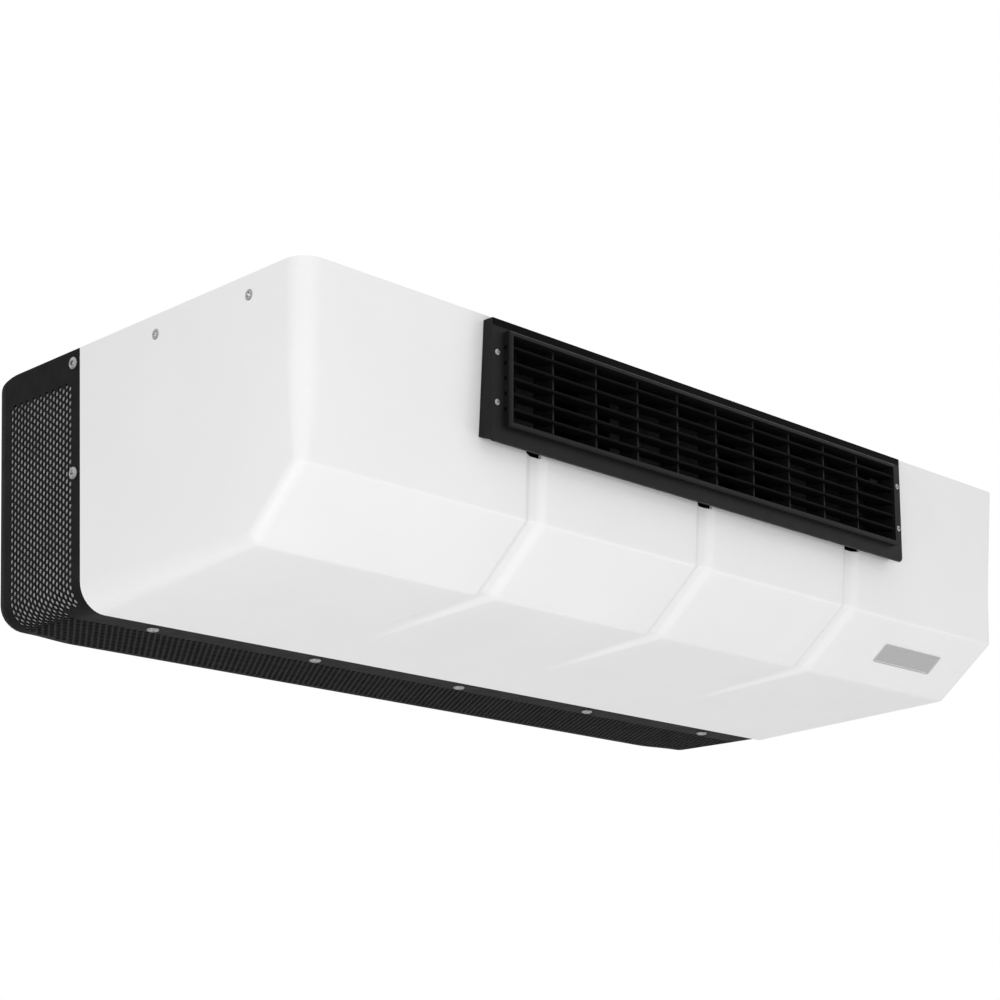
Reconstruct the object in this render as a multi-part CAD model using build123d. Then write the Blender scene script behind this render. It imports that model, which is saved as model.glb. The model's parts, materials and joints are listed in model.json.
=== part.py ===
from build123d import *
import math
import os

os.makedirs("parts", exist_ok=True)

# Millimetres. X runs along the width, -Y is the front, +Z is up.
# The origin is the centre of the ceiling bolts, on the face that meets the ceiling.

# Overall form
width = 990
cover_depth = 315
cover_height = 241
cover_wall = 3
screen_depth = 147
screen_step = 3
screen_sheet = 1.5
joint_y = 90
side_draft = 0.052
front_lean = 0.052
front_lift = 70.5
chamfer_setback = 72.5
chamfer_lift = 15.4
corner_radius = 26
screen_rear_radius = 24
screen_edge_radius = 12
side_band_width = 21
floor_band_width = 38
band_sheet = 3
joint_gap = 0.5
fit_gap = 0.3

front_y = joint_y - cover_depth
rear_y = joint_y + screen_depth
half_width = width / 2
screen_height = cover_height - screen_step
front_face_height = cover_height - front_lift
chamfer_foot_height = cover_height - chamfer_lift
chamfer_top_y = front_y + front_lean * front_face_height
chamfer_foot_y = front_y + chamfer_setback

# Grooves pressed in the cover
groove_inset = 265.5
groove_centres = (groove_inset - half_width, 0, half_width - groove_inset)
groove_width = 20
groove_depth = 4.5
groove_fade_y = joint_y - 70

# Discharge grille
plate_half_width = half_width - 200.8
plate_top = 5.1
plate_bottom = 115.3
plate_stand_off = 11.3
plate_sheet = 2.5
core_half_width = plate_half_width - 14.9
core_top = 14.8
core_bottom = 101
core_wall = 4
core_rise = 6.5
core_reach = 9
window_gap = 3
window_bottom = 108
mullion_count = 9
mullion_pitch = 2 * (core_half_width - core_wall) / (mullion_count + 1)
mullion_thickness = 2
mullion_depth = 22
grille_screw_x = plate_half_width - 5.5
grille_screw_heights = (35.7, 80.6)

# Louvre blades
blade_count = 5
blade_pitch = 13.9
blade_first_height = 29.1
blade_thickness = 1.8
blade_bead_radius = 1.3
blade_front_reach = 5.5
blade_rear_reach = 9.5
blade_end_gap = 0.5
blade_notch_gap = 1.2
pivot_radius = 2
pivot_length = 3
pivot_gap = 0.06
pivot_set_back = 6
crank_radius = 7.5
crank_pin_radius = 1.25
crank_x = 17.3 - core_half_width
crank_width = 3
link_gap = 0.08
link_width = 5
link_thickness = 2.5
tab_x = core_half_width - 38.8
tab_width = 12
tab_rise = 3.6

# Top pan and joint frame
pan_sheet = 1.5
pan_flange = 32
pan_front_flange = 8
pan_rear_flange = 18
ceiling_bolt_x = half_width - 65
ceiling_bolt_y = 150
ceiling_hole_radius = 4.5
frame_sheet = 1.5
frame_lap = 20
frame_width = 58

# Blowers
shaft_radius = 4
shaft_gap = 0.05
hub_gap = 0.02
wheel_radius = (cover_height - 121) / 2
wheel_width = 92
wheel_blade_count = 16
wheel_blade_depth = 11
wheel_blade_thickness = 1
wheel_ring = 2
wheel_disc = 2
blade_tip_lead = 9
shaft_end = 4
hub_radius = 11
hub_length = 26
wheel_x = 130
scroll_wall = 2
scroll_steps = 10
scroll_side_gap = 5
scroll_start_gap = 8
scroll_outlet_top = 17
scroll_growth = 37
scroll_outlet_bottom = 95
inlet_radius = wheel_radius - 13
shaft_y = front_y + 140
shaft_height = scroll_outlet_top + wheel_radius + scroll_growth
inlet_ring_depth = 4
motor_radius = 38
motor_length = 118
motor_bell_radius = 30
motor_bell_length = 10
strap_width = 30
strap_sheet = 2
strap_gap = 0.2
saddle_foot = 14
ear_height = 14

# Discharge plenum
plenum_sheet = 1.5
plenum_back_y = front_y + 53
plenum_gap = 0.5
hanger_spread = 40
hanger_width = 24
hanger_foot = 16

# Coil
fin_half_length = half_width - 70
fin_front_y = joint_y - 30
tube_rows = 3
tubes_high = 8
row_pitch = 22
fin_top = 22
fin_foot_gap = 20.4
tube_radius = 4.76
end_plate_sheet = 1.5
end_plate_flange = 18
bend_stub = 6
bend_steps = 2
end_plate_margin = 4
seal_inset = 4

# Refrigerant side
header_x = half_width - 41
header_radius = 9.5
valve_x = half_width - 36
valve_y = rear_y - 47
valve_height = 112
valve_radius = 11
valve_length = 30
feeder_radius = 2.4
dome_neck = 7
dome_lift = 15
dome_height = 6
dome_radius = 18
distributor_length = 16
distributor_neck = 8
feeder_spread = 6
feeder_bend = 9
liquid_line_radius = 6.35
port_start = 4
hex_length = 10
spigot_port_length = 12
suction_port_radius = 11.1
liquid_port_radius = 7.9
pipe_wall = 1
hole_gap = 0.8

# Drain
drain_pan_half_length = half_width - 21
drain_pan_front_y = fin_front_y - 14
drain_pan_back_y = fin_front_y + tube_rows * row_pitch + 16
drain_pan_floor = screen_height - 18
drain_pan_rim = drain_pan_floor - 23
tube_pitch = (drain_pan_floor - fin_top - fin_foot_gap) / tubes_high
drain_pan_sheet = 1.5
spigot_x = half_width - 95
spigot_height = drain_pan_floor - 12
spigot_radius = 9.5
spigot_wall = 1.6
spigot_reach = 22
collar_width = 2
tray_corner = 8

# Fasteners
cover_screw_ys = (joint_y - 115, front_y + 70)
cover_screw_height = 17.4
cover_recess_depth = 1.8
cover_recess_radius = 9.5
band_screw_y = joint_y + 10
band_screw_heights = (12.2, 114.3)
bottom_screw_pitch = (half_width - 109) / 2
bottom_screw_y = joint_y + 26
screw_head_radius = 6.5
screw_head_height = 3
screw_radius = 2.5
screw_length = 10
head_taper = 35
small_head_radius = 3
small_head_height = 1.8
small_screw_radius = 1.5
screw_hole_gap = 0.1

# Bare plate on the slope
badge_x = half_width - 125
badge_length = 98
badge_width = 24
badge_thickness = 1

CENTRED = (Align.CENTER, Align.CENTER, Align.MIN)


def box(x0, x1, y0, y1, z0, z1):
    """A block between two corners."""
    centre = Pos((x0 + x1) / 2, (y0 + y1) / 2, (z0 + z1) / 2)
    return centre * Box(x1 - x0, y1 - y0, z1 - z0)


def rod(start, direction, radius, length):
    """A cylinder that starts at a point and runs along a direction."""
    return Plane(origin=start, z_dir=direction) * Cylinder(radius, length, align=CENTRED)


def bar(start, direction, radius, length, sides=8):
    """A straight bar with a polygon section, its corners at radius."""
    section = Plane(origin=start, z_dir=direction) * RegularPolygon(radius, sides)
    return extrude(section, length)


def screw_hole(start, direction, radius, length):
    """A clearance hole for a screw's shank."""
    return bar(start, direction, radius + screw_hole_gap, length, 6)


def side_outline(points):
    """A face in the side view from (y, z) points."""
    return Plane.YZ * make_face(Polyline(*points, close=True))


def save(node, solid):
    """Write one node, alone or as a group of solids."""
    if isinstance(solid, (list, tuple)):
        solid = Compound(children=list(solid))
    export_step(solid, "parts/" + node + ".step")


def front_surface_y(height):
    """The y of the cover's front face at a depth below the ceiling."""
    return front_y + front_lean * height


def side_x(height):
    """Half the width of the cover and the screen at a depth below the ceiling."""
    return half_width - side_draft * height


def tapered_block(inset, bottom, top, y0, y1):
    """A block between the two drafted sides, drawn in by inset."""
    points = []
    for side, height in ((-1, -top), (1, -top), (1, bottom), (-1, bottom)):
        points.append((side * (side_x(height) - inset), -height))
    place = Plane(origin=(0, y1, 0), x_dir=(1, 0, 0), z_dir=(0, -1, 0))
    return extrude(place * make_face(Polyline(*points, close=True)), y1 - y0)


def side_inward(side):
    """The direction into a drafted side, square to it."""
    length = math.hypot(1, side_draft)
    return (-side / length, 0, side_draft / length)


def side_seat(side, y, height, depth=0):
    """A point on a drafted side, or that far inside it, square to the side."""
    inward = side_inward(side)
    return (side * side_x(height) + inward[0] * depth, y, inward[2] * depth - height)


# Cover


def cover_block(inset, overrun):
    """The cover as a solid block, drawn in by inset and run past its open top and back."""
    slope = (cover_height - chamfer_foot_height) / (joint_y - chamfer_foot_y)
    outline = make_face(
        Polyline(
            (joint_y + overrun, overrun),
            (front_y - front_lean * overrun, overrun),
            (chamfer_top_y, -front_face_height),
            (chamfer_foot_y, -chamfer_foot_height),
            (joint_y + overrun, -cover_height - slope * overrun),
            close=True,
        )
    )
    if inset:
        outline = offset(outline, -inset, kind=Kind.INTERSECTION)
    block = extrude(Plane.YZ * outline, width, both=True)
    block &= tapered_block(inset, 2 * cover_height, overrun, -width, width)
    ends = ShapeList()
    for face in block.faces():
        if abs(face.normal_at().X) > 0.9:
            ends += face.edges()
    top = max(e.center().Z for e in ends)
    back = max(e.center().Y for e in ends)
    ends = ends.filter_by(lambda e: e.center().Z < top - 0.01 and e.center().Y < back - 0.01)
    return fillet(ends, corner_radius - inset)


def groove_cutter(swell):
    """The three grooves as rods that lie in the front, the slope and the floor of the cover."""
    half_chord = groove_width / 2
    radius = (half_chord**2 + groove_depth**2) / (2 * groove_depth)
    lift = radius - groove_depth
    foot_slope = (cover_height - chamfer_foot_height) / (joint_y - chamfer_foot_y)
    slope_run = chamfer_foot_y - chamfer_top_y
    slope_drop = chamfer_foot_height - front_face_height
    slope_length = math.hypot(slope_run, slope_drop)
    out_y, out_z = -slope_drop / slope_length, -slope_run / slope_length
    fade_length = groove_fade_y - chamfer_foot_y
    fade = groove_depth / fade_length
    rods = []
    for x in groove_centres:
        start = (x, front_surface_y(core_bottom) - lift, -core_bottom)
        reach = front_face_height - core_bottom + 2 * groove_depth
        rods.append(rod(start, (0, front_lean, -1), radius + swell, reach))
        lead = groove_depth
        start = (
            x,
            chamfer_top_y + out_y * lift - slope_run / slope_length * lead,
            -front_face_height + out_z * lift + slope_drop / slope_length * lead,
        )
        rods.append(rod(start, (0, slope_run, -slope_drop), radius + swell, slope_length + 2 * lead))
        start = (x, chamfer_foot_y - lead, -chamfer_foot_height - lift + (foot_slope + fade) * lead)
        rods.append(rod(start, (0, 1, -foot_slope - fade), radius + swell, fade_length + lead))
    return Compound(children=rods)


def screw_spots_on_cover():
    """Where the screws enter the cover's sides, as (side, y)."""
    return [(side, y) for side in (-1, 1) for y in cover_screw_ys]


def front_cover():
    shell = cover_block(0, 0)
    cavity = cover_block(cover_wall, 2 * corner_radius)
    for groove in groove_cutter(cover_wall).children:
        cavity -= groove
    shell -= cavity
    for groove in groove_cutter(0).children:
        shell -= groove
    for side, y in screw_spots_on_cover():
        start = side_seat(side, y, cover_screw_height, cover_wall)
        shell += bar(start, side_inward(side), cover_recess_radius, cover_recess_depth, 12)
    window_half = core_half_width + window_gap
    shell -= box(-window_half, window_half, front_y - 5, front_y + 15, -window_bottom, -core_top + window_gap)
    for side, y in screw_spots_on_cover():
        mouth = side_seat(side, y, cover_screw_height)
        dish_end = Plane(origin=mouth, z_dir=side_inward(side)) * RegularPolygon(cover_recess_radius, 12)
        shell -= extrude(dish_end, cover_recess_depth, taper=45)
        shell -= screw_hole(mouth, side_inward(side), screw_radius, 2 * cover_wall)
    for x, h in grille_screw_spots():
        start = (x, front_surface_y(h) - 1, -h)
        shell -= screw_hole(start, (0, 1, 0), small_screw_radius, cover_wall + 2)
    return shell


# Screen


def u_block(inset, bottom, radius, y0, y1, top):
    """A drafted block whose two lower long edges are rounded."""
    block = tapered_block(inset, bottom, top, y0, y1)
    return fillet(block.edges().filter_by(Axis.Y).group_by(Axis.Z)[0], radius)


def screen_block(inset, start_y, overrun):
    """The screen as a solid block, drawn in by inset, from start_y to its rear face."""
    back = rear_y - inset
    floor = screen_height - inset
    wrap = u_block(inset, floor, corner_radius - inset, start_y, back, overrun)
    block = tapered_block(inset, floor, overrun, start_y, back)
    rear_edges = block.faces().sort_by(Axis.Y)[-1].edges()
    corners = rear_edges.filter_by(lambda e: abs(e.tangent_at(0).Z) > 0.5)
    lower = rear_edges.filter_by(Axis.X).sort_by(Axis.Z)[0]
    plan = fillet(corners, screen_rear_radius - inset)
    return wrap & plan & fillet(lower, screen_edge_radius - inset)


def rear_exits():
    """Each pipe that leaves through the screen's rear, as (x, height, radius)."""
    drains = [(side * spigot_x, spigot_height, spigot_radius) for side in (-1, 1)]
    return drains + [
        (header_x, tube_heights()[0], header_radius),
        (valve_x, valve_height, liquid_line_radius),
    ]


def bottom_screw_xs():
    return [i * bottom_screw_pitch for i in range(-2, 3)]


def band_screw_spots():
    return [(side, h) for side in (-1, 1) for h in band_screw_heights]


def return_screen():
    start = joint_y + joint_gap
    shell = screen_block(0, start, 0) - screen_block(screen_sheet, start - 1, 1)
    side_band = screen_block(0, start, 0) - screen_block(band_sheet, start - 1, 1)
    side_part = side_band & box(-width, width, start, start + side_band_width, -screen_height, 0)
    flat_floor = side_x(screen_height) - corner_radius
    floor_part = side_band & box(
        -flat_floor, flat_floor, start, start + floor_band_width, -screen_height, -screen_height + band_sheet
    )
    shell = shell + side_part + floor_part
    for x, h, radius in rear_exits():
        shell -= bar((x, rear_y - 10, -h), (0, 1, 0), radius + hole_gap, 20, 12)
    for side, h in band_screw_spots():
        start = side_seat(side, band_screw_y, h, -screw_length)
        shell -= screw_hole(start, side_inward(side), screw_radius, 3 * screw_length)
    for x in bottom_screw_xs():
        shell -= screw_hole((x, bottom_screw_y, -width), (0, 0, 1), screw_radius, width)
    return shell


def joint_frame():
    """The bent strap behind the joint, which the cover and the screen are screwed to."""
    inset = cover_wall + fit_gap
    bottom = screen_height - band_sheet - fit_gap
    radius = corner_radius - inset
    start = joint_y - frame_lap
    end = start + frame_width
    strap = u_block(inset, bottom, radius, start, end, 0)
    strap -= u_block(inset + frame_sheet, bottom - frame_sheet, radius - frame_sheet, start - 1, end + 1, 1)
    for side, h in band_screw_spots():
        start = side_seat(side, band_screw_y, h, -screw_length)
        strap -= screw_hole(start, side_inward(side), screw_radius, 3 * screw_length)
    for x in bottom_screw_xs():
        strap -= screw_hole((x, bottom_screw_y, -width), (0, 0, 1), screw_radius, width)
    return strap


# Top pan


def pan_half():
    return side_x(pan_flange) - cover_wall - fit_gap - frame_sheet - fit_gap


def pan_block(inset, low, high):
    half = pan_half() - inset
    y0 = front_surface_y(pan_front_flange) + cover_wall + fit_gap + inset
    y1 = rear_y - screen_sheet - fit_gap - inset
    block = box(-half, half, y0, y1, low, high)
    uprights = block.edges().filter_by(Axis.Z).group_by(Axis.Y)
    block = fillet(uprights[0], corner_radius - cover_wall - inset)
    uprights = block.edges().filter_by(Axis.Z).group_by(Axis.Y)
    return fillet(uprights[-1], screen_rear_radius - screen_sheet - inset)


def top_pan():
    pan = pan_block(0, -pan_flange, 0) - pan_block(pan_sheet, -pan_flange - 1, -pan_sheet)
    y0 = front_y - 1
    pan -= box(-width, width, y0, y0 + 2 * corner_radius, -pan_flange - 1, -pan_front_flange)
    pan -= box(-width, width, rear_y - corner_radius, rear_y, -pan_flange - 1, -pan_rear_flange)
    for x in (-ceiling_bolt_x, ceiling_bolt_x):
        for y in (-ceiling_bolt_y, ceiling_bolt_y):
            pan -= rod((x, y, -pan_flange), (0, 0, 1), ceiling_hole_radius, 2 * pan_flange)
    side_spots = [(side, y, cover_screw_height) for side, y in screw_spots_on_cover()]
    side_spots += [(side, band_screw_y, band_screw_heights[0]) for side in (-1, 1)]
    for side, y, h in side_spots:
        start = side_seat(side, y, h, -screw_length)
        pan -= screw_hole(start, side_inward(side), screw_radius, 3 * screw_length)
    return pan


# Grille


plate_front_y = front_y - plate_stand_off
plate_back_y = plate_front_y + plate_sheet
rim_y = plate_front_y - core_rise
pivot_y = rim_y + pivot_set_back
plenum_front_y = front_y + window_bottom * front_lean + cover_wall + 2
sleeve_back_y = plenum_front_y + core_reach
opening_half = core_half_width - core_wall
opening_top = core_top + core_wall
opening_bottom = core_bottom - core_wall


def mullion_xs():
    middle = (mullion_count - 1) / 2
    return [(i - middle) * mullion_pitch for i in range(mullion_count)]


def blade_heights():
    return [blade_first_height + i * blade_pitch for i in range(blade_count)]


def grille_screw_spots():
    return [(side * grille_screw_x, h) for side in (-1, 1) for h in grille_screw_heights]


def grille_frame():
    plate = box(-plate_half_width, plate_half_width, plate_front_y, plate_back_y, -plate_bottom, -plate_top)
    wall_rise = plate_sheet * 2.5
    wall = side_outline(
        [
            (plate_front_y + 0.1, -plate_top),
            (front_surface_y(plate_top) - fit_gap, -plate_top),
            (front_surface_y(plate_bottom - wall_rise) - fit_gap, -plate_bottom + wall_rise),
            (plate_front_y + 0.1, -plate_bottom),
        ]
    )
    for side in (-1, 1):
        edge = side * (plate_half_width - plate_sheet / 2)
        plate += Pos(edge, 0, 0) * extrude(wall, plate_sheet / 2, both=True)
    plate += box(
        -plate_half_width,
        plate_half_width,
        plate_front_y + 0.1,
        front_surface_y(plate_top) - fit_gap,
        -plate_top - plate_sheet,
        -plate_top,
    )
    for x, h in grille_screw_spots():
        reach = front_surface_y(h) - fit_gap - plate_back_y
        plate += bar((x, plate_back_y - 0.1, -h), (0, 1, 0), 2 * small_screw_radius, reach)
    core = box(-core_half_width, core_half_width, rim_y, sleeve_back_y, -core_bottom, -core_top)
    core = chamfer(core.faces().sort_by(Axis.Y)[0].edges(), core_wall / 3)
    frame = plate + core
    frame -= box(-opening_half, opening_half, rim_y - 1, sleeve_back_y + 1, -opening_bottom, -opening_top)
    front = pivot_y + fit_gap
    for x in mullion_xs():
        half = mullion_thickness / 2
        frame += box(x - half, x + half, front, front + mullion_depth, -opening_bottom - 1, -opening_top + 1)
    for x, h in grille_screw_spots():
        frame -= screw_hole((x, rim_y, -h), (0, 1, 0), small_screw_radius, plate_stand_off + core_rise + 5)
    bore_radius = (pivot_radius + pivot_gap) / math.cos(math.pi / 12)
    for h in blade_heights():
        for side in (-1, 1):
            start = (side * (opening_half - 1), pivot_y, -h)
            frame -= bar(start, (side, 0, 0), bore_radius, core_wall + 2, 12)
    return frame


def louvre_blade(height, with_tab):
    """One blade, notched behind its front strip to pass the mullions."""
    half = opening_half - blade_end_gap
    bead_y = pivot_y - blade_front_reach + blade_bead_radius
    back = pivot_y + blade_rear_reach
    blade = box(
        -half, half, bead_y, back, -height - blade_thickness / 2, -height + blade_thickness / 2
    )
    blade += bar((-half, bead_y, -height), (1, 0, 0), blade_bead_radius, 2 * half)
    notch = mullion_thickness / 2 + blade_notch_gap
    notch_front = pivot_y - blade_notch_gap
    for x in mullion_xs():
        blade -= box(x - notch, x + notch, notch_front, back + 1, -height - 5, -height + 5)
    for side in (-1, 1):
        reach = side * (half - blade_end_gap)
        blade += rod((reach, pivot_y, -height), (side, 0, 0), pivot_radius, blade_end_gap + pivot_length)
    slot = link_thickness / 2 + crank_width / 4
    slot_front = pivot_y + crank_radius - link_width
    blade -= box(crank_x - slot, crank_x + slot, slot_front, back + 1, -height - 5, -height + 5)
    pin_y = pivot_y + crank_radius
    blade += bar((crank_x - crank_width, pin_y, -height), (1, 0, 0), crank_pin_radius, 2 * crank_width)
    if with_tab:
        blade += box(
            tab_x - tab_width / 2,
            tab_x + tab_width / 2,
            bead_y - blade_bead_radius,
            bead_y + blade_bead_radius,
            -height,
            -height + tab_rise,
        )
    return blade


def louvre_link():
    pin_y = pivot_y + crank_radius
    heights = blade_heights()
    end = link_width / 2
    strip = box(
        crank_x - link_thickness / 2,
        crank_x + link_thickness / 2,
        pin_y - end,
        pin_y + end,
        -heights[-1] - end,
        -heights[0] + end,
    )
    strip = chamfer(strip.edges().filter_by(Axis.X), end / 2)
    hole_radius = (crank_pin_radius + link_gap) / math.cos(math.pi / 8)
    for h in heights:
        start = (crank_x - link_thickness, pin_y, -h)
        strip -= bar(start, (1, 0, 0), hole_radius, 2 * link_thickness)
    return strip


# Plenum


def outlet_xs():
    return (-wheel_x, wheel_x)


def scroll_half_width():
    return wheel_width / 2 + scroll_side_gap


def discharge_plenum():
    half = core_half_width + plenum_gap
    top = core_top - plenum_gap
    bottom = core_bottom + plenum_gap
    duct = box(
        -half - plenum_sheet,
        half + plenum_sheet,
        plenum_front_y,
        plenum_back_y,
        -bottom - plenum_sheet,
        -top + plenum_sheet,
    )
    duct -= box(-half, half, plenum_front_y - 1, plenum_back_y - plenum_sheet, -bottom, -top)
    reach = scroll_half_width()
    for x in outlet_xs():
        duct -= box(
            x - reach,
            x + reach,
            plenum_back_y - 5,
            plenum_back_y + 5,
            -scroll_outlet_bottom,
            -scroll_outlet_top,
        )
        for side in (-1, 1):
            tab_centre = x + side * hanger_spread
            duct += box(
                tab_centre - hanger_width / 2,
                tab_centre + hanger_width / 2,
                plenum_back_y - plenum_sheet,
                plenum_back_y,
                -top,
                -pan_sheet,
            )
            duct += box(
                tab_centre - hanger_width / 2,
                tab_centre + hanger_width / 2,
                plenum_back_y - hanger_foot,
                plenum_back_y,
                -pan_sheet - plenum_sheet,
                -pan_sheet,
            )
    return duct


# Blowers


def scroll_face(swell):
    """The spiral and its outlet in the side view, grown by swell."""
    top = -(scroll_outlet_top - swell)
    bottom = -(scroll_outlet_bottom + swell)
    start_radius = wheel_radius + scroll_start_gap + swell
    end_radius = shaft_height + top
    start_angle = math.acos((shaft_height + bottom) / start_radius)
    points = []
    for i in range(scroll_steps + 1):
        share = i / scroll_steps
        angle = start_angle + (2 * math.pi - start_angle) * share
        radius = start_radius + (end_radius - start_radius) * share
        points.append((shaft_y - radius * math.sin(angle), radius * math.cos(angle) - shaft_height))
    return side_outline(points + [(plenum_back_y, top), (plenum_back_y, bottom)])


def scroll_housing(x):
    half = scroll_half_width()
    outer = Pos(x, 0, 0) * extrude(scroll_face(scroll_wall), half + scroll_wall, both=True)
    for side in (-1, 1):
        start = (x + side * half, shaft_y, -shaft_height)
        length = scroll_wall + inlet_ring_depth
        outer += bar(start, (side, 0, 0), inlet_radius + scroll_wall, length, 16)
    outer -= Pos(x, 0, 0) * extrude(scroll_face(0), half, both=True)
    bore_start = (x - 2 * half, shaft_y, -shaft_height)
    return outer - bar(bore_start, (1, 0, 0), inlet_radius, 4 * half, 16)


def scroll_halves(x):
    """The housing parted at its middle: the half away from the motor, then the half beside it."""
    whole = scroll_housing(x)
    low = whole & box(x - width, x, -width, width, -width, width)
    high = whole & box(x, x + width, -width, width, -width, width)
    return (low, high) if x < 0 else (high, low)


def wheel_blades():
    """The ring of forward-curved blades as flat faces in the side view."""
    inner = wheel_radius - wheel_blade_depth
    tip = wheel_radius - wheel_ring
    faces = []
    for i in range(wheel_blade_count):
        base = 360 / wheel_blade_count * i
        edge = [(inner, base), (tip, base + blade_tip_lead)]
        back = [(r, a + math.degrees(wheel_blade_thickness / r)) for r, a in reversed(edge)]
        outline = [
            (-r * math.sin(math.radians(a)), r * math.cos(math.radians(a))) for r, a in edge + back
        ]
        faces.append(make_face(Polyline(*outline, close=True)))
    return faces


def blower_wheel(x):
    half = wheel_width / 2
    inner = wheel_radius - wheel_blade_depth
    blades = Sketch() + wheel_blades()
    wheel = extrude(Plane.YZ * blades, half - wheel_ring / 2, both=True)
    for side in (-1, 1):
        start = (side * (half - wheel_ring), 0, 0)
        ring = bar(start, (side, 0, 0), wheel_radius, wheel_ring, wheel_blade_count)
        wheel += ring - bar(start, (side, 0, 0), inner - 1, wheel_ring, wheel_blade_count)
    wheel += bar((-wheel_disc / 2, 0, 0), (1, 0, 0), inner + 2, wheel_disc, wheel_blade_count)
    wheel += bar((-hub_length / 2, 0, 0), (1, 0, 0), hub_radius, hub_length, 12)
    wheel -= rod((-hub_length, 0, 0), (1, 0, 0), shaft_radius + hub_gap, 2 * hub_length)
    return Pos(x, shaft_y, -shaft_height) * wheel


def blower_shaft():
    reach = wheel_x + hub_length / 2 + shaft_end
    return rod((-reach, shaft_y, -shaft_height), (1, 0, 0), shaft_radius, 2 * reach)


def blower_motor():
    """The can with a smaller bell at each end, bored for the shaft."""
    half = motor_length / 2
    can = half - motor_bell_length
    motor = bar((-can, 0, 0), (1, 0, 0), motor_radius, 2 * can, 16)
    motor += bar((-half, 0, 0), (1, 0, 0), motor_bell_radius, motor_length, 16)
    motor -= rod((-motor_length, 0, 0), (1, 0, 0), shaft_radius + shaft_gap, 2 * motor_length)
    return Pos(0, shaft_y, -shaft_height) * motor


def half_band(upward, half_length):
    """Half of a band round the motor, as the motor's own polygon grown by the gap."""
    outer = motor_radius + strap_gap + strap_sheet
    start = (-half_length, shaft_y, -shaft_height)
    band = bar(start, (1, 0, 0), outer, 2 * half_length, 16)
    band -= bar(start, (1, 0, 0), motor_radius + strap_gap, 2 * half_length, 16)
    low, high = (-shaft_height, 0) if upward else (-cover_height, -shaft_height)
    return band & box(-half_length, half_length, -width, width, low, high)


def motor_saddle():
    """The hanger over the motor: two legs, an arch and feet under the top pan."""
    half = strap_width / 2
    inner = motor_radius + strap_gap
    outer = inner + strap_sheet
    saddle = half_band(True, half)
    for side in (-1, 1):
        leg = sorted((shaft_y + side * inner, shaft_y + side * outer))
        saddle += box(-half, half, *leg, -shaft_height, -pan_sheet)
        foot = sorted((shaft_y + side * inner, shaft_y + side * (outer + saddle_foot)))
        saddle += box(-half, half, *foot, -pan_sheet - strap_sheet, -pan_sheet)
    return saddle


def motor_strap():
    """The band under the motor, with an ear on each leg of the saddle."""
    half = strap_width / 3
    inner = motor_radius + strap_gap
    outer = inner + strap_sheet
    strap = half_band(False, half)
    for side in (-1, 1):
        ear = sorted((shaft_y + side * outer, shaft_y + side * (outer + strap_sheet)))
        strap += box(-half, half, *ear, -shaft_height, -shaft_height + ear_height)
        turn = sorted((shaft_y + side * inner, shaft_y + side * (outer + strap_sheet)))
        strap += box(-half, half, *turn, -shaft_height - strap_sheet, -shaft_height)
    return strap


# Coil


def tube_heights():
    return [fin_top + (i + 0.5) * tube_pitch for i in range(tubes_high)]


def tube_ys():
    return [fin_front_y + (i + 0.5) * row_pitch for i in range(tube_rows)]


def fin_bottom():
    return fin_top + tubes_high * tube_pitch


def fin_back_y():
    return fin_front_y + tube_rows * row_pitch


def fin_pack():
    return box(-fin_half_length, fin_half_length, fin_front_y, fin_back_y(), -fin_bottom(), -fin_top)


def coil_end_plate(side):
    """A flanged plate that holds the tube ends, hung from the pan and standing in the tray."""
    x0, x1 = sorted((side * fin_half_length, side * (fin_half_length + end_plate_sheet)))
    y0 = fin_front_y - end_plate_margin
    y1 = fin_back_y() + end_plate_margin
    low = -drain_pan_floor + drain_pan_sheet
    plate = box(x0, x1, y0, y1, low, -pan_sheet)
    f0, f1 = sorted((side * fin_half_length, side * (fin_half_length + end_plate_flange)))
    plate += box(f0, f1, y0, y1, -pan_sheet - end_plate_sheet, -pan_sheet)
    plate += box(f0, f1, y0, y1, low, low + end_plate_sheet)
    plate += box(f0, f1, y0, y0 + end_plate_sheet, low, -pan_sheet)
    plate += box(f0, f1, y1 - end_plate_sheet, y1, low, -pan_sheet)
    return plate


def return_bends(side):
    """U bends that join the tube ends two by two on one end of the coil."""
    face = side * (fin_half_length + end_plate_sheet)
    first = 0 if side < 0 else 1
    heights = tube_heights()
    half = tube_pitch / 2
    bends = []
    for y in tube_ys():
        for i in range(first, tubes_high - 1, 2):
            middle = -heights[i] - half
            path = [(face, y, middle + half)]
            for step in range(bend_steps + 1):
                angle = math.pi * step / bend_steps
                x = face + side * (bend_stub + half * math.sin(angle))
                path.append((x, y, middle + half * math.cos(angle)))
            path.append((face, y, middle - half))
            section = Plane(origin=path[0], z_dir=(side, 0, 0)) * RegularPolygon(tube_radius, 6)
            bends.append(sweep(section, path=Polyline(*path), transition=Transition.RIGHT))
    return bends


def suction_header():
    """The outlet pipe beside the coil, with a stub from each row, run out through the rear."""
    height = tube_heights()[0]
    start = tube_ys()[0] - header_radius - 2
    length = rear_y + port_start - start
    header = bar((header_x, start, -height), (0, 1, 0), header_radius, length, 12)
    face = fin_half_length + end_plate_sheet
    for y in tube_ys():
        header += bar((face, y, -height), (1, 0, 0), tube_radius, header_x - face)
    bore_start = (header_x, start + pipe_wall, -height)
    return header - bar(bore_start, (0, 1, 0), header_radius - pipe_wall, length, 12)


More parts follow.
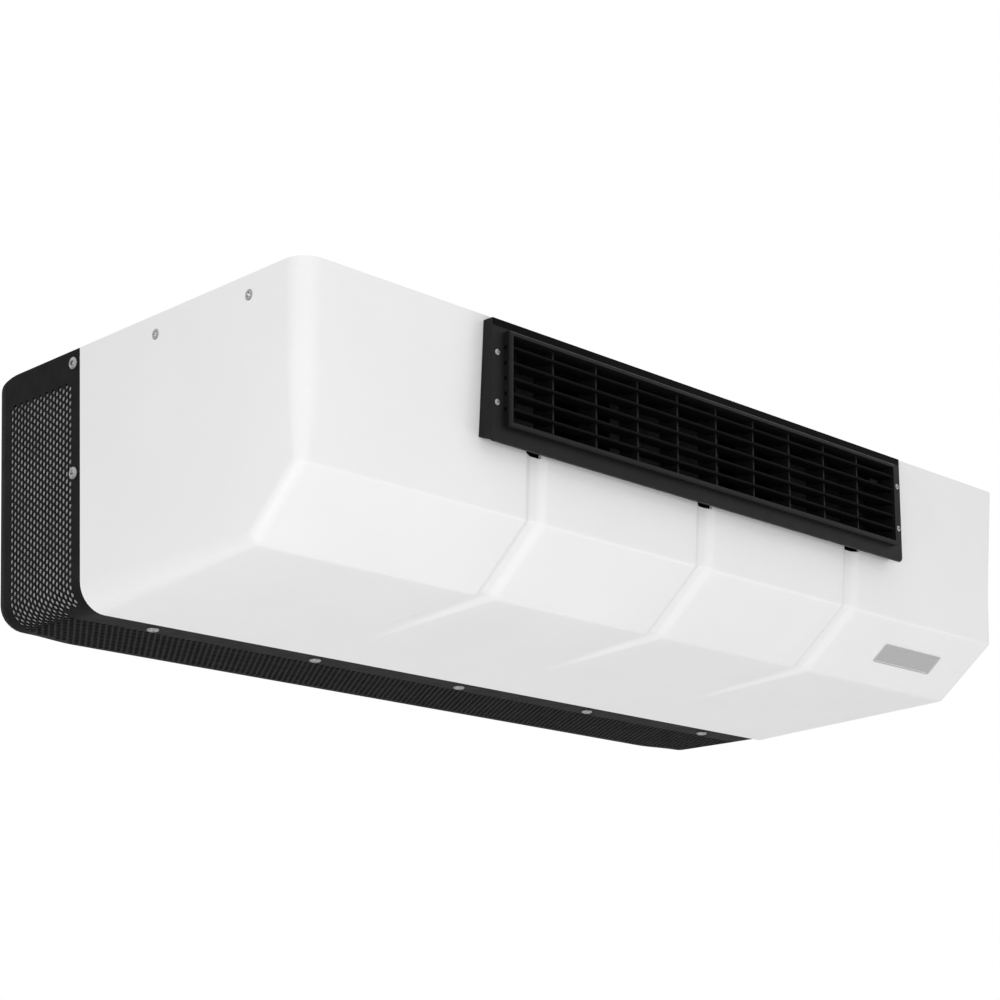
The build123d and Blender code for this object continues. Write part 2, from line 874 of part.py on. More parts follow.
def pipe_port(x, height, line_radius, port_radius):
    """A hexagon and a round spigot on the end of a pipe, behind the screen."""
    start = rear_y + port_start
    hexagon = RegularPolygon(port_radius * 1.3, 6)
    place = Plane(origin=(x, start, -height), x_dir=(1, 0, 0), z_dir=(0, 1, 0))
    port = extrude(place * hexagon, hex_length)
    port += rod((x, start + hex_length, -height), (0, 1, 0), port_radius, spigot_port_length)
    total = hex_length + spigot_port_length
    return port - bar((x, start - 1, -height), (0, 1, 0), line_radius - pipe_wall, total + 2, 12)


def liquid_line():
    start = (valve_x, valve_y + valve_length / 2, -valve_height)
    length = rear_y + port_start - start[1]
    pipe = bar(start, (0, 1, 0), liquid_line_radius, length, 12)
    return pipe - bar(start, (0, 1, 0), liquid_line_radius - pipe_wall, length, 12)


def expansion_valve():
    """The valve body along Y, its power dome on top and its cap below."""
    centre = (valve_x, valve_y, -valve_height)
    body = bar((valve_x, valve_y - valve_length / 2, -valve_height), (0, 1, 0), valve_radius, valve_length, 12)
    body += bar(centre, (0, 0, 1), dome_neck, dome_lift + 2 * dome_height, 12)
    body += bar((valve_x, valve_y, dome_lift - valve_height), (0, 0, 1), dome_radius, dome_height, 16)
    body += bar(centre, (0, 0, -1), dome_neck, dome_lift, 12)
    return body


def distributor():
    """The stepped head that shares the liquid between the feeder tubes."""
    start = (valve_x, valve_y - valve_length / 2 - distributor_length, -valve_height)
    wide = feeder_spread + 2 * feeder_radius
    head = bar(start, (0, 1, 0), wide, distributor_length / 2, 12)
    return head + bar(start, (0, 1, 0), distributor_neck, distributor_length, 12)


def feeder_tubes():
    """One thin tube from the distributor to the lowest tube of each row."""
    start_y = valve_y - valve_length / 2 - distributor_length
    low = -tube_heights()[-1]
    face = fin_half_length + end_plate_sheet
    feeders = []
    for i, y in enumerate(tube_ys()):
        x = valve_x + (i - 1) * feeder_spread
        path = [
            (x, start_y, -valve_height),
            (x, y + feeder_bend, -valve_height),
            (x, y, -valve_height - feeder_bend),
            (x, y, low + feeder_bend),
            (x - feeder_bend, y, low),
            (face, y, low),
        ]
        section = Plane(origin=path[0], z_dir=(0, -1, 0)) * RegularPolygon(feeder_radius, 6)
        feeders.append(sweep(section, path=Polyline(*path), transition=Transition.RIGHT))
    return feeders


def coil_top_seal():
    """The foam that closes the space over the coil."""
    inset = seal_inset
    return box(
        -fin_half_length, fin_half_length, fin_front_y + inset, fin_back_y() - inset, -fin_top, -pan_sheet
    )


# Drain


def drain_tray():
    half = drain_pan_half_length
    block = box(-half, half, drain_pan_front_y, drain_pan_back_y, -drain_pan_floor, -drain_pan_rim)
    block = fillet(block.edges().filter_by(Axis.Z), tray_corner)
    hollow = box(
        -half + drain_pan_sheet,
        half - drain_pan_sheet,
        drain_pan_front_y + drain_pan_sheet,
        drain_pan_back_y - drain_pan_sheet,
        -drain_pan_floor + drain_pan_sheet,
        1 - drain_pan_rim,
    )
    hollow = fillet(hollow.edges().filter_by(Axis.Z), tray_corner - drain_pan_sheet)
    tray = block - hollow
    for side in (-1, 1):
        start = (side * spigot_x, drain_pan_back_y - 5, -spigot_height)
        tray -= bar(start, (0, 1, 0), spigot_radius - spigot_wall, 10, 12)
    return tray


def drain_spigots():
    length = rear_y + spigot_reach - drain_pan_back_y
    spigots = []
    for side in (-1, 1):
        start = (side * spigot_x, drain_pan_back_y, -spigot_height)
        pipe = rod(start, (0, 1, 0), spigot_radius, length)
        pipe += bar((start[0], rear_y + 1, start[2]), (0, 1, 0), spigot_radius + spigot_wall, collar_width, 12)
        spigots.append(pipe - bar(start, (0, 1, 0), spigot_radius - spigot_wall, length, 12))
    return spigots


# Fasteners and plate


def screw(seat, inward, head_radius, head_height, radius, length):
    """A screw with a tapered head on its seat."""
    outward = tuple(-c for c in inward)
    base = Plane(origin=seat, z_dir=outward) * RegularPolygon(head_radius, 10)
    return extrude(base, head_height, taper=head_taper) + bar(seat, inward, radius, length, 6)


def big_screw(seat, inward):
    return screw(seat, inward, screw_head_radius, screw_head_height, screw_radius, screw_length)


def cover_screws():
    return [
        big_screw(side_seat(side, y, cover_screw_height, cover_recess_depth), side_inward(side))
        for side, y in screw_spots_on_cover()
    ]


def band_screws():
    return [
        big_screw(side_seat(side, band_screw_y, h), side_inward(side)) for side, h in band_screw_spots()
    ]


def floor_screws():
    return [big_screw((x, bottom_screw_y, -screen_height), (0, 0, 1)) for x in bottom_screw_xs()]


def grille_screws():
    return [
        screw(
            (x, plate_front_y, -h),
            (0, 1, 0),
            small_head_radius,
            small_head_height,
            small_screw_radius,
            front_surface_y(h) + cover_wall + 2 - plate_front_y,
        )
        for x, h in grille_screw_spots()
    ]


def badge_plate():
    """The bare plate on the sloping panel."""
    run = chamfer_foot_y - chamfer_top_y
    drop = chamfer_foot_height - front_face_height
    middle = ((chamfer_top_y + chamfer_foot_y) / 2, -(front_face_height + chamfer_foot_height) / 2)
    place = Plane(origin=(badge_x, *middle), x_dir=(1, 0, 0), z_dir=(0, -drop, -run))
    plate = extrude(place * RectangleRounded(badge_length, badge_width, 2), badge_thickness)
    return plate


save("front_cover", front_cover())
save("return_screen", return_screen())
save("joint_frame", joint_frame())
save("top_pan", top_pan())
save("grille_frame", grille_frame())
for number, blade_height in enumerate(blade_heights(), 1):
    save("louvre_blade_" + str(number), louvre_blade(blade_height, number == 2))
save("louvre_link", louvre_link())
save("discharge_plenum", discharge_plenum())
for hand, x in (("left", -wheel_x), ("right", wheel_x)):
    outer_half, inner_half = scroll_halves(x)
    save(hand + "_scroll_outer", outer_half)
    save(hand + "_scroll_inner", inner_half)
    save(hand + "_blower_wheel", blower_wheel(x))
save("blower_shaft", blower_shaft())
save("blower_motor", blower_motor())
save("motor_saddle", motor_saddle())
save("motor_strap", motor_strap())
save("fin_pack", fin_pack())
for hand, side in (("left", -1), ("right", 1)):
    save(hand + "_coil_plate", coil_end_plate(side))
    save(hand + "_return_bends", return_bends(side))
save("suction_header", suction_header())
save("suction_port", pipe_port(header_x, tube_heights()[0], header_radius, suction_port_radius))
save("liquid_line", liquid_line())
save("liquid_port", pipe_port(valve_x, valve_height, liquid_line_radius, liquid_port_radius))
save("expansion_valve", expansion_valve())
save("distributor", distributor())
save("feeder_tubes", feeder_tubes())
save("coil_top_seal", coil_top_seal())
save("drain_tray", drain_tray())
save("drain_spigots", drain_spigots())
save("cover_screws", cover_screws())
save("band_screws", band_screws())
save("floor_screws", floor_screws())
save("grille_screws", grille_screws())
save("badge_plate", badge_plate())
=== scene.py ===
import json
import math

import bmesh
import bpy
from mathutils import Matrix, Vector


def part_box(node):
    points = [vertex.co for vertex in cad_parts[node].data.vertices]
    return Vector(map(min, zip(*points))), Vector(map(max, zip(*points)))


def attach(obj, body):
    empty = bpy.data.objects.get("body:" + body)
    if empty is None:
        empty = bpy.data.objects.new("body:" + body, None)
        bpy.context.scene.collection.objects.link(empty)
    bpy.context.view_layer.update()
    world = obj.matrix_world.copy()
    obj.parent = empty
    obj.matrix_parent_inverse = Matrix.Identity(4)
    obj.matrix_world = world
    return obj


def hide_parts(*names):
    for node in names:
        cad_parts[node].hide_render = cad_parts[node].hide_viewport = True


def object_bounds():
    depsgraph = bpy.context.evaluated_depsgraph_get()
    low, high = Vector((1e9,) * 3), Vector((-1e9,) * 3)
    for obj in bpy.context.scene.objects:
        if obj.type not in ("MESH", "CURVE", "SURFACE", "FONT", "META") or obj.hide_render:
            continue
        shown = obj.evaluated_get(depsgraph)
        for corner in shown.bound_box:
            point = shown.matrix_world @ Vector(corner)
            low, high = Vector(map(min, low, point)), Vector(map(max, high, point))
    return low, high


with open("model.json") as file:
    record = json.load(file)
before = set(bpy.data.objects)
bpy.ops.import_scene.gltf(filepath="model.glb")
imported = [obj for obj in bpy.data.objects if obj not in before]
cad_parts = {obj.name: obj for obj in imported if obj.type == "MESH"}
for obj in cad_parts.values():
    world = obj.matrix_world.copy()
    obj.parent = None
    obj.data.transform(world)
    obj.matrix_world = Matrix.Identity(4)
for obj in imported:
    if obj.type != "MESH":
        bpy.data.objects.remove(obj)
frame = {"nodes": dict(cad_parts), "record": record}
cad_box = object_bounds()
NODES = frame["nodes"]
BODY_OF = {}
for body_name, members in frame["record"]["behaviour"]["bodies"].items():
    for member in members:
        BODY_OF[member] = body_name
SLOT_OF = {row["node"]: row["material_slot"] for row in frame["record"]["subparts"]}

# Lengths are in metres, in the frame's axes.

# Camera, fitted to the photograph taken as 1000 x 1000 pixels
CAMERA_PLACE = (-1.5358, -1.5182, -0.6823)
CAMERA_AZIMUTH = math.radians(44.31)
CAMERA_RISE = math.radians(12.43)
CAMERA_ROLL = math.radians(0.147)
CAMERA_FOCAL_PIXELS = 2201.7
CAMERA_SHIFT = 0.14
IMAGE_PIXELS = 1000
SENSOR_WIDTH = 36

# Shape that the cover and the screen share
SIDE_DRAFT = 0.052
CORNER_RADIUS = 0.026

# Screen
SCREEN_SHEET = 0.0012
SCREEN_SIDE_RIM = 0.024
SCREEN_FLOOR_RIM = 0.012
RIM_CHANGE_LENGTH = 0.06
RIM_STEPS = 8
RIM_COUNT = 260
TOP_CORNER_DEPTH = 0.046
TOP_CORNER_HEIGHT = 0.028
TOP_CORNER_HALF = 0.02

# Perforation of the screen, with the bands that stay plain
HOLE_PITCH = 0.0068
ROW_PITCH = 0.0053
HOLE_RADIUS = 0.0026
# As many corners as a cell's outer ring has
HOLE_CORNERS = 8
PLAIN_TOP = 0.025
PLAIN_SIDE_BAND = 0.012
PLAIN_FLOOR_BAND = 0.034
PLAIN_REAR = 0.006
# The share of the corner's arc at which the side's band gives way to the floor's
BAND_CHANGE = 0.6

# Holes in the rear panel for the pipes
EXIT_MARGIN = 0.008
EXIT_GAP = 0.0008
SPIGOT_COLLAR = 0.0016

# Mat behind the screen
FILTER_GAP = 0.0003
FILTER_SHEET = 0.001
FILTER_MARGIN = 0.002
FILTER_JOINT_GAP = 0.006
FILTER_COUNT = 220
FILTER_BEND_STEPS = 6

# Folds of the cover
COVER_WALL = 0.003
FRONT_LEAN = 0.052
FRONT_LIFT = 0.0705
FOOT_SETBACK = 0.0725
FOOT_LIFT = 0.0154
FOLD_REACH = (0.0026, 0.004)
# A point inside the cover's outline, in y and z
COVER_INSIDE = Vector((0.05, -0.1))

# Rounding between the cover's sides and the rest
FRONT_EDGE_RADIUS = 0.021
SLOPE_EDGE_RADIUS = 0.0105
# The share of the front's height from which the radius shrinks
EDGE_CHANGE_START = 0.3
# How far before the joint the radius has grown to the screen's
EDGE_CHANGE_END = 0.02
CORNER_STEPS = 10

# Columns of the cover's grid, which follow the rounding's radius beyond FIXED_HALF
FIXED_HALF = 0.29
PLAIN_COLUMNS = 10
COLUMN_GAP = 0.012

# Grooves of the cover
GROOVE_SPACING = 0.2295
GROOVE_SHIFT = 0.004
GROOVE_CENTRES = tuple(side * GROOVE_SPACING + GROOVE_SHIFT for side in (-1, 0, 1))
GROOVE_HALF = 0.0145
GROOVE_DEPTH = 0.0045
GROOVE_FADE_Y = 0.02
# The share of the groove's half width that is flat
GROOVE_FLOOR = 0.25
GROOVE_STEPS = 28

# Rows of the cover's grid, as shares of each stretch
FRONT_SHARES = (0.15, 0.3, 0.45, 0.6, 0.75, 0.88)
FOLD_SHARES = (0, 0.2, 0.4, 0.6, 0.8, 1)
SLOPE_SHARES = (0.2, 0.4, 0.6, 0.8)
FADE_STEPS = 14
FLOOR_SHARES = (0.4, 0.8, 1)

# Window behind the grille, which is the grid's second row of faces
WINDOW_TOP = 0.0118
WINDOW_BOTTOM = 0.108
WINDOW_HALF = 0.2823
WINDOW_ROW = 1

# Notches at the grooves' upper ends, measured up from the grille plate's lower edge
NOTCH_HALF = 0.0105
NOTCH_LOW = 0.0046
NOTCH_HIGH = 0.014
NOTCH_CUT_SETBACK = 0.01
NOTCH_CUT_DEPTH = 0.04

# Fasteners
BIG_HEAD_RADIUS = 0.0058
BIG_HEAD_HEIGHT = 0.0028
BIG_SHANK_RADIUS = 0.0025
BIG_SEAT_HEIGHT = 0.003
SMALL_HEAD_RADIUS = 0.003
SMALL_HEAD_HEIGHT = 0.0018
SMALL_SHANK_RADIUS = 0.0015
SHANK_TIP_RADIUS = 0.0002
HEAD_RINGS = 16
SCREW_SECTORS = 48
# The share of the head's height that is its upright edge, and how full its dome is
HEAD_EDGE = 0.22
HEAD_DOME = 0.98
# Cross recess, as shares of the head's radius, and its wall as a share of its half width
CROSS_ARM = 0.52
CROSS_HALF = 0.13
CROSS_DEPTH = 0.3
CROSS_WALL = 0.25
# Turn of the first screw of a group, and from one screw to the next
FIRST_TURN = 0.4
NEXT_TURN = 0.7

# Coil
FIN_PITCH = 0.0025
FIN_SHEET = 0.0003
FIN_STEPS = 12
# The ripple as a share of the pitch
FIN_RIPPLE = 0.16

# Edge rounding
GRILLE_EDGE = 0.0006
BADGE_EDGE = 0.0002
PLENUM_EDGE = 0.0003
PAN_EDGE = 0.0004
PLATE_CORNER = 0.005
PLATE_CORNER_SEGMENTS = 6
BADGE_RIM = 0.0016
BADGE_STEP_WIDTH = 0.0003
BADGE_STEP_DEPTH = 0.0004
# How much a face's area in square metres counts against its direction, in finding the badge's front
BADGE_AREA_WEIGHT = 100
# The y of a face's normal below which it looks to the front
LOOKS_FORWARD = -0.5

# Angles in degrees from which an edge is sharp, is rounded, or counts as flat
SMOOTH_ANGLE = 35
SCREW_SMOOTH_ANGLE = 50
FIN_SMOOTH_ANGLE = 15
BADGE_SMOOTH_ANGLE = 20
ROUNDED_ANGLE = 30
FLAT_ANGLE = 0.4

# Distances that count as nothing
TINY = 1e-6
MERGE_DISTANCE = 1e-6
SCREEN_MERGE_DISTANCE = 2e-6
SMALLEST_CELL = 1e-5
HEAD_TOP_REACH = 1e-5
PLATE_CORNER_REACH = 1e-4

# Noise in the materials
NOISE_ROUGHNESS = 0.55
NOISE_RANGE = (0.3, 0.7)
NOISE_DETAIL = 3
GRAIN_DETAIL = 2
WEAR_DETAIL = 5
WEAR_SCALE = 3.1
WEAR_SPREAD = 0.05
SPANGLE_SCALE = 6

# Sockets of the Mix node, by number, since its names repeat
MIX_FACTOR = 0
MIX_COLOURS = (6, 7)
MIX_RESULT = 2

# Floor
FLOOR_DROP = 1.1
FLOOR_HALF = 6.0
FLOOR_COLOUR = 0.92
FLOOR_MOTTLE = 0.99
FLOOR_MOTTLE_SCALE = 2
FLOOR_ROUGHNESS = 0.9
FLOOR_SPECULAR = 0.1

# Light from all round, and each lamp with its place, target, width and height, and power in watts
SKY_STRENGTH = 0.6
LAMPS = {
    "key": ((-2.2, -2.4, -0.7), (0, -0.1, -0.12), (2.6, 0.7), 29),
    "low": ((-0.7, -0.7, -1.25), (-0.2, -0.15, -0.2), (2.2, 0.8), 1.6),
    "edge": ((-1.33, -0.45, -1.1), (-0.47, -0.2, -0.2), (0.5, 0.4), 1.5),
    "under": ((0.2, 0.5, -1.25), (0.1, 0, -0.24), (2.2, 1.0), 4.0),
    "right_low": ((1.7, -1.6, -1.15), (-0.1, -0.2, -0.2), (1.4, 0.22), 6),
}
# Lamps that show in no reflection
UNREFLECTED = ("key",)


# Materials


def node_of(tree, kind, **values):
    """A shader node with its plain values set by name."""
    node = tree.nodes.new(kind)
    for key, value in values.items():
        if hasattr(node, key):
            setattr(node, key, value)
        else:
            node.inputs[key.replace("_", " ")].default_value = value
    return node


def noise(tree, place, scale, detail=NOISE_DETAIL):
    """The strength of a noise at a place."""
    texture = node_of(tree, "ShaderNodeTexNoise", Scale=scale, Detail=detail, Roughness=NOISE_ROUGHNESS)
    tree.links.new(place, texture.inputs["Vector"])
    return texture.outputs["Fac"]


def spread(tree, factor, low, high):
    """A number that runs from low to high with a noise."""
    start, end = NOISE_RANGE
    mapped = node_of(
        tree, "ShaderNodeMapRange", From_Min=start, From_Max=end, To_Min=low, To_Max=high
    )
    tree.links.new(factor, mapped.inputs["Value"])
    return mapped.outputs["Result"]


def mixed(tree, factor, first, second):
    """A colour that runs from the first to the second with a factor."""
    mix = node_of(tree, "ShaderNodeMix", data_type="RGBA")
    for socket, colour in zip(MIX_COLOURS, (first, second)):
        mix.inputs[socket].default_value = tuple(colour) + (1,)
    tree.links.new(factor, mix.inputs[MIX_FACTOR])
    return mix.outputs[MIX_RESULT]


def finish(
    name, colour, roughness, tone, metallic=0.0, specular=0.5, tone_scale=25.0,
    grain=(), stretch=(1, 1, 1), spangled=False,
):
    """A surface with uneven roughness, colour mottled by a tone, and grain as (scale, strength, depth)."""
    made = bpy.data.materials.new(name)
    made.use_nodes = True
    tree = made.node_tree
    shader = tree.nodes["Principled BSDF"]
    shader.inputs["Metallic"].default_value = metallic
    shader.inputs["Specular IOR Level"].default_value = specular
    coords = tree.nodes.new("ShaderNodeTexCoord")
    scaled = node_of(tree, "ShaderNodeMapping", Scale=stretch)
    tree.links.new(coords.outputs["Object"], scaled.inputs["Vector"])
    place = scaled.outputs["Vector"]
    if spangled:
        cells = node_of(tree, "ShaderNodeTexVoronoi", Scale=tone_scale * SPANGLE_SCALE)
        tree.links.new(place, cells.inputs["Vector"])
        patch = tree.nodes.new("ShaderNodeSeparateColor")
        tree.links.new(cells.outputs["Color"], patch.inputs["Color"])
        mottle = patch.outputs["Red"]
    else:
        mottle = noise(tree, place, tone_scale)
    dark = [c * (1 - tone) for c in colour]
    light = [min(1, c * (1 + tone)) for c in colour]
    shade = mixed(tree, spread(tree, mottle, 0, 1), dark, light)
    tree.links.new(shade, shader.inputs["Base Color"])
    wear = noise(tree, place, tone_scale * WEAR_SCALE, WEAR_DETAIL)
    worn = spread(tree, wear, roughness - WEAR_SPREAD, roughness + WEAR_SPREAD)
    tree.links.new(worn, shader.inputs["Roughness"])
    normal = None
    for scale, strength, depth in grain:
        bump = node_of(tree, "ShaderNodeBump", Strength=strength, Distance=depth)
        tree.links.new(noise(tree, place, scale, GRAIN_DETAIL), bump.inputs["Height"])
        if normal:
            tree.links.new(normal, bump.inputs["Normal"])
        normal = bump.outputs["Normal"]
    if normal:
        tree.links.new(normal, shader.inputs["Normal"])
    return made


MATERIALS = {
    "cover_plastic": finish(
        "cover_plastic", (0.88, 0.88, 0.88), 0.34, specular=0.36, tone=0.012, tone_scale=9,
        grain=((520, 0.12, 0.0006), (1500, 0.1, 0.0002)),
    ),
    "screen_metal": finish(
        "screen_metal", (0.009, 0.009, 0.009), 0.58, specular=0.05, tone=0.12,
        grain=((1800, 0.12, 0.0002),),
    ),
    "grille_plastic": finish(
        "grille_plastic", (0.008, 0.008, 0.008), 0.5, specular=0.17, tone=0.15,
        grain=((1500, 0.2, 0.0002),),
    ),
    # Black plastic made darker and duller than its own colour, as painted shade for the outlet's inside
    # and the grille's top band
    "black_plastic_painted_shade": finish(
        "black_plastic_painted_shade", (0.004, 0.004, 0.004), 0.6, specular=0.04, tone=0.2,
        grain=((1500, 0.2, 0.0002),),
    ),
    "sheet_metal": finish(
        "sheet_metal", (0.5, 0.505, 0.51), 0.45, metallic=1.0, tone=0.045, tone_scale=22,
        spangled=True,
    ),
    "blower_plastic": finish(
        "blower_plastic", (0.02, 0.02, 0.022), 0.48, tone=0.15, grain=((900, 0.2, 0.0003),)
    ),
    "motor_paint": finish(
        "motor_paint", (0.035, 0.035, 0.04), 0.35, tone=0.12, grain=((700, 0.15, 0.0003),)
    ),
    "steel": finish(
        "steel", (0.36, 0.36, 0.37), 0.3, metallic=1.0, tone=0.08, tone_scale=300,
        grain=((2600, 0.15, 0.0001),),
    ),
    "fin_aluminium": finish(
        "fin_aluminium", (0.78, 0.79, 0.8), 0.34, metallic=1.0, tone=0.08, tone_scale=40,
        stretch=(1, 6, 1),
    ),
    "copper": finish("copper", (0.72, 0.38, 0.24), 0.3, metallic=1.0, tone=0.14, tone_scale=60),
    "brass": finish("brass", (0.72, 0.55, 0.27), 0.28, metallic=1.0, tone=0.08, tone_scale=80),
    "filter": finish(
        "filter", (0.4, 0.4, 0.4), 0.95, specular=0.1, tone=0.2, tone_scale=30,
        grain=((900, 0.8, 0.001),),
    ),
    "foam": finish(
        "foam", (0.03, 0.03, 0.03), 0.95, specular=0.1, tone=0.25, grain=((700, 0.9, 0.0012),)
    ),
    "tray_plastic": finish(
        "tray_plastic", (0.03, 0.03, 0.03), 0.5, tone=0.12, grain=((900, 0.25, 0.0003),)
    ),
    "badge_foil": finish(
        "badge_foil", (0.66, 0.66, 0.67), 0.32, metallic=1.0, tone=0.05, tone_scale=240,
        stretch=(1, 14, 14), grain=((900, 0.12, 0.0001),),
    ),
}

for node_name, cad_object in NODES.items():
    cad_object.data.materials.clear()
    # Louvres and blower scrolls take the darker black, as painted shade for the inside of the outlet
    in_painted_shade = node_name.startswith("louvre") or node_name.endswith(("scroll_outer", "scroll_inner"))
    cad_object.data.materials.append(MATERIALS["black_plastic_painted_shade" if in_painted_shade else SLOT_OF[node_name]])


# Helpers for new pieces


def held(value):
    """A value held between 0 and 1."""
    return min(1, max(0, value))


def eased(share):
    """A share from 0 to 1 with soft ends."""
    return share * share * (3 - 2 * share)


def smooth(mesh, angle=SMOOTH_ANGLE):
    """Smooth shading, with sharp edges from an angle on."""
    mesh.shade_smooth()
    mesh.set_sharp_from_angle(angle=math.radians(angle))


def object_from(name, builder):
    """An object in the scene from a filled bmesh, which is then freed."""
    mesh = bpy.data.meshes.new(name)
    builder.to_mesh(mesh)
    builder.free()
    made = bpy.data.objects.new(name, mesh)
    bpy.context.scene.collection.objects.link(made)
    return made


def piece_from(name, builder, node, smooth_angle=SMOOTH_ANGLE):
    """An object that stands for a CAD node, from a filled bmesh."""
    made = object_from(name, builder)
    made.data.materials.append(MATERIALS[SLOT_OF[node]])
    smooth(made.data, smooth_angle)
    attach(made, BODY_OF[node])
    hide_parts(node)
    return made


def loose_piece(name, builder, body, material):
    """An object that stands for no CAD node and rides on a body."""
    made = object_from(name, builder)
    made.data.materials.append(material)
    smooth(made.data)
    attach(made, body)
    return made


def join_rows(builder, rows):
    """Faces between each row of points and the next."""
    for upper, lower in zip(rows, rows[1:]):
        for k in range(len(upper) - 1):
            builder.faces.new((upper[k], lower[k], lower[k + 1], upper[k + 1]))


def thicken(made, thickness, offset):
    """Gives a shell its wall, all inside it at offset -1 and half on each side at 0."""
    wall = made.modifiers.new("wall", "SOLIDIFY")
    wall.thickness = thickness
    wall.offset = offset


def settle(made):
    """Turns an object's modifiers into its mesh, with nothing above the ceiling's plane."""
    bpy.context.view_layer.update()
    view = made.evaluated_get(bpy.context.evaluated_depsgraph_get())
    mesh = bpy.data.meshes.new_from_object(view)
    made.modifiers.clear()
    made.data = mesh
    for vert in mesh.vertices:
        vert.co.z = min(vert.co.z, 0)
    smooth(mesh)


def cad_mesh(node):
    """A bmesh of a CAD node, with the points that lie together joined."""
    builder = bmesh.new()
    builder.from_mesh(NODES[node].data)
    bmesh.ops.remove_doubles(builder, verts=builder.verts, dist=MERGE_DISTANCE)
    return builder


def softened(node, width, segments=2):
    """A CAD node's own shape with its sharp edges rounded."""
    builder = cad_mesh(node)
    flat = math.radians(FLAT_ANGLE)
    bmesh.ops.dissolve_limit(builder, angle_limit=flat, verts=builder.verts, edges=builder.edges)
    made = piece_from(node + "_soft", builder, node)
    rounding = made.modifiers.new("rounding", "BEVEL")
    rounding.width = width
    rounding.segments = segments
    rounding.limit_method = "ANGLE"
    rounding.angle_limit = math.radians(ROUNDED_ANGLE)
    rounding.harden_normals = True
    return made


# Screen


screen_low, screen_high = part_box("return_screen")
HALF_WIDTH = screen_high.x
JOINT_Y = screen_low.y
REAR_Y = screen_high.y
SCREEN_HEIGHT = -screen_low.z


def side_x(height):
    """The x of the right side at a distance below the ceiling."""
    return HALF_WIDTH - SIDE_DRAFT * height


class Wrap:
    """The line round the screen's left side, floor and right side, by its length from the top."""

    def __init__(self):
        lean = math.hypot(1, SIDE_DRAFT)
        turn = math.pi / 2 - math.atan(SIDE_DRAFT)
        self.reach = CORNER_RADIUS * math.tan(turn / 2)
        self.side = SCREEN_HEIGHT * lean - self.reach
        self.arc = CORNER_RADIUS * turn
        floor = side_x(SCREEN_HEIGHT) - self.reach
        self.half = self.side + self.arc + floor
        self.total = 2 * self.half
        self.start = Vector((-HALF_WIDTH, 0))
        self.down = Vector((SIDE_DRAFT / lean, -1 / lean))
        self.inward = Vector((1 / lean, SIDE_DRAFT / lean))
        self.centre = self.start + self.down * self.side + self.inward * CORNER_RADIUS

    def at(self, s):
        """The point in x and z, and the outward direction."""
        if s > self.half:
            point, out = self.at(self.total - s)
            return Vector((-point.x, point.y)), Vector((-out.x, out.y))
        if s <= self.side:
            return self.start + self.down * s, -self.inward
        if s <= self.side + self.arc:
            angle = (s - self.side) / CORNER_RADIUS
            out = Matrix.Rotation(angle, 2) @ -self.inward
            return self.centre + out * CORNER_RADIUS, out
        x = -side_x(SCREEN_HEIGHT) + (s - self.side - self.arc) + self.reach
        return Vector((x, -SCREEN_HEIGHT)), Vector((0, -1))

    def rim(self, s):
        """The radius of the rear edge's bend."""
        along = min(s, self.total - s) - self.side - self.arc
        share = eased(held(along / RIM_CHANGE_LENGTH))
        return SCREEN_SIDE_RIM + (SCREEN_FLOOR_RIM - SCREEN_SIDE_RIM) * share


WRAP = Wrap()


def corner_drop(share):
    """How far the screen's upper edge drops along its rounded rear corner."""
    share = held(share)
    return TOP_CORNER_HEIGHT * (1 - math.sqrt(1 - share * share))


def top_cut(y):
    """The drop of the upper edge on a side."""
    return corner_drop((y - REAR_Y + TOP_CORNER_DEPTH) / TOP_CORNER_DEPTH)


def lattice(low_a, high_a, low_b, high_b):
    """The centres of staggered cells that cover a rectangle, with a margin of two cells."""
    margin = 2
    middle = (low_a + high_a) / 2
    count = int((high_a - low_a) / HOLE_PITCH / 2) + margin
    rows = int((high_b - low_b) / ROW_PITCH) + margin
    for j in range(-1, rows + 1):
        for i in range(-count, count + 1):
            yield middle + (i + 0.5 * (j % 2)) * HOLE_PITCH, low_b + j * ROW_PITCH


def cell_rings(a, b):
    """The outer corners of a cell and the corners of its hole."""
    half = HOLE_PITCH / 2
    shoulder = (ROW_PITCH**2 - half**2) / (2 * ROW_PITCH)
    peak = (ROW_PITCH**2 + half**2) / (2 * ROW_PITCH)
    corners = ((half, 0), (half, shoulder), (0, peak), (-half, shoulder))
    outer, inner = [], []
    for sign in (1, -1):
        outer += [(a + sign * da, b + sign * db) for da, db in corners]
    for k in range(HOLE_CORNERS):
        angle = math.radians(360 / HOLE_CORNERS * k)
        inner.append((a + HOLE_RADIUS * math.cos(angle), b + HOLE_RADIUS * math.sin(angle)))
    return outer, inner


def add_cell(builder, outer, inner, place, clamp, open_cell):
    """One cell as a ring round its hole, or as a plain face."""
    corners = [clamp(*point) for point in outer]
    spans = [max(c[k] for c in corners) - min(c[k] for c in corners) for k in (0, 1)]
    if min(spans) < SMALLEST_CELL:
        return
    ring = [builder.verts.new(place(*corner)) for corner in corners]
    if not open_cell:
        builder.faces.new(ring)
        return
    edge = [builder.verts.new(place(*point)) for point in inner]
    for k in range(len(ring)):
        n = (k + 1) % len(ring)
        builder.faces.new((ring[k], ring[n], edge[n], edge[k]))


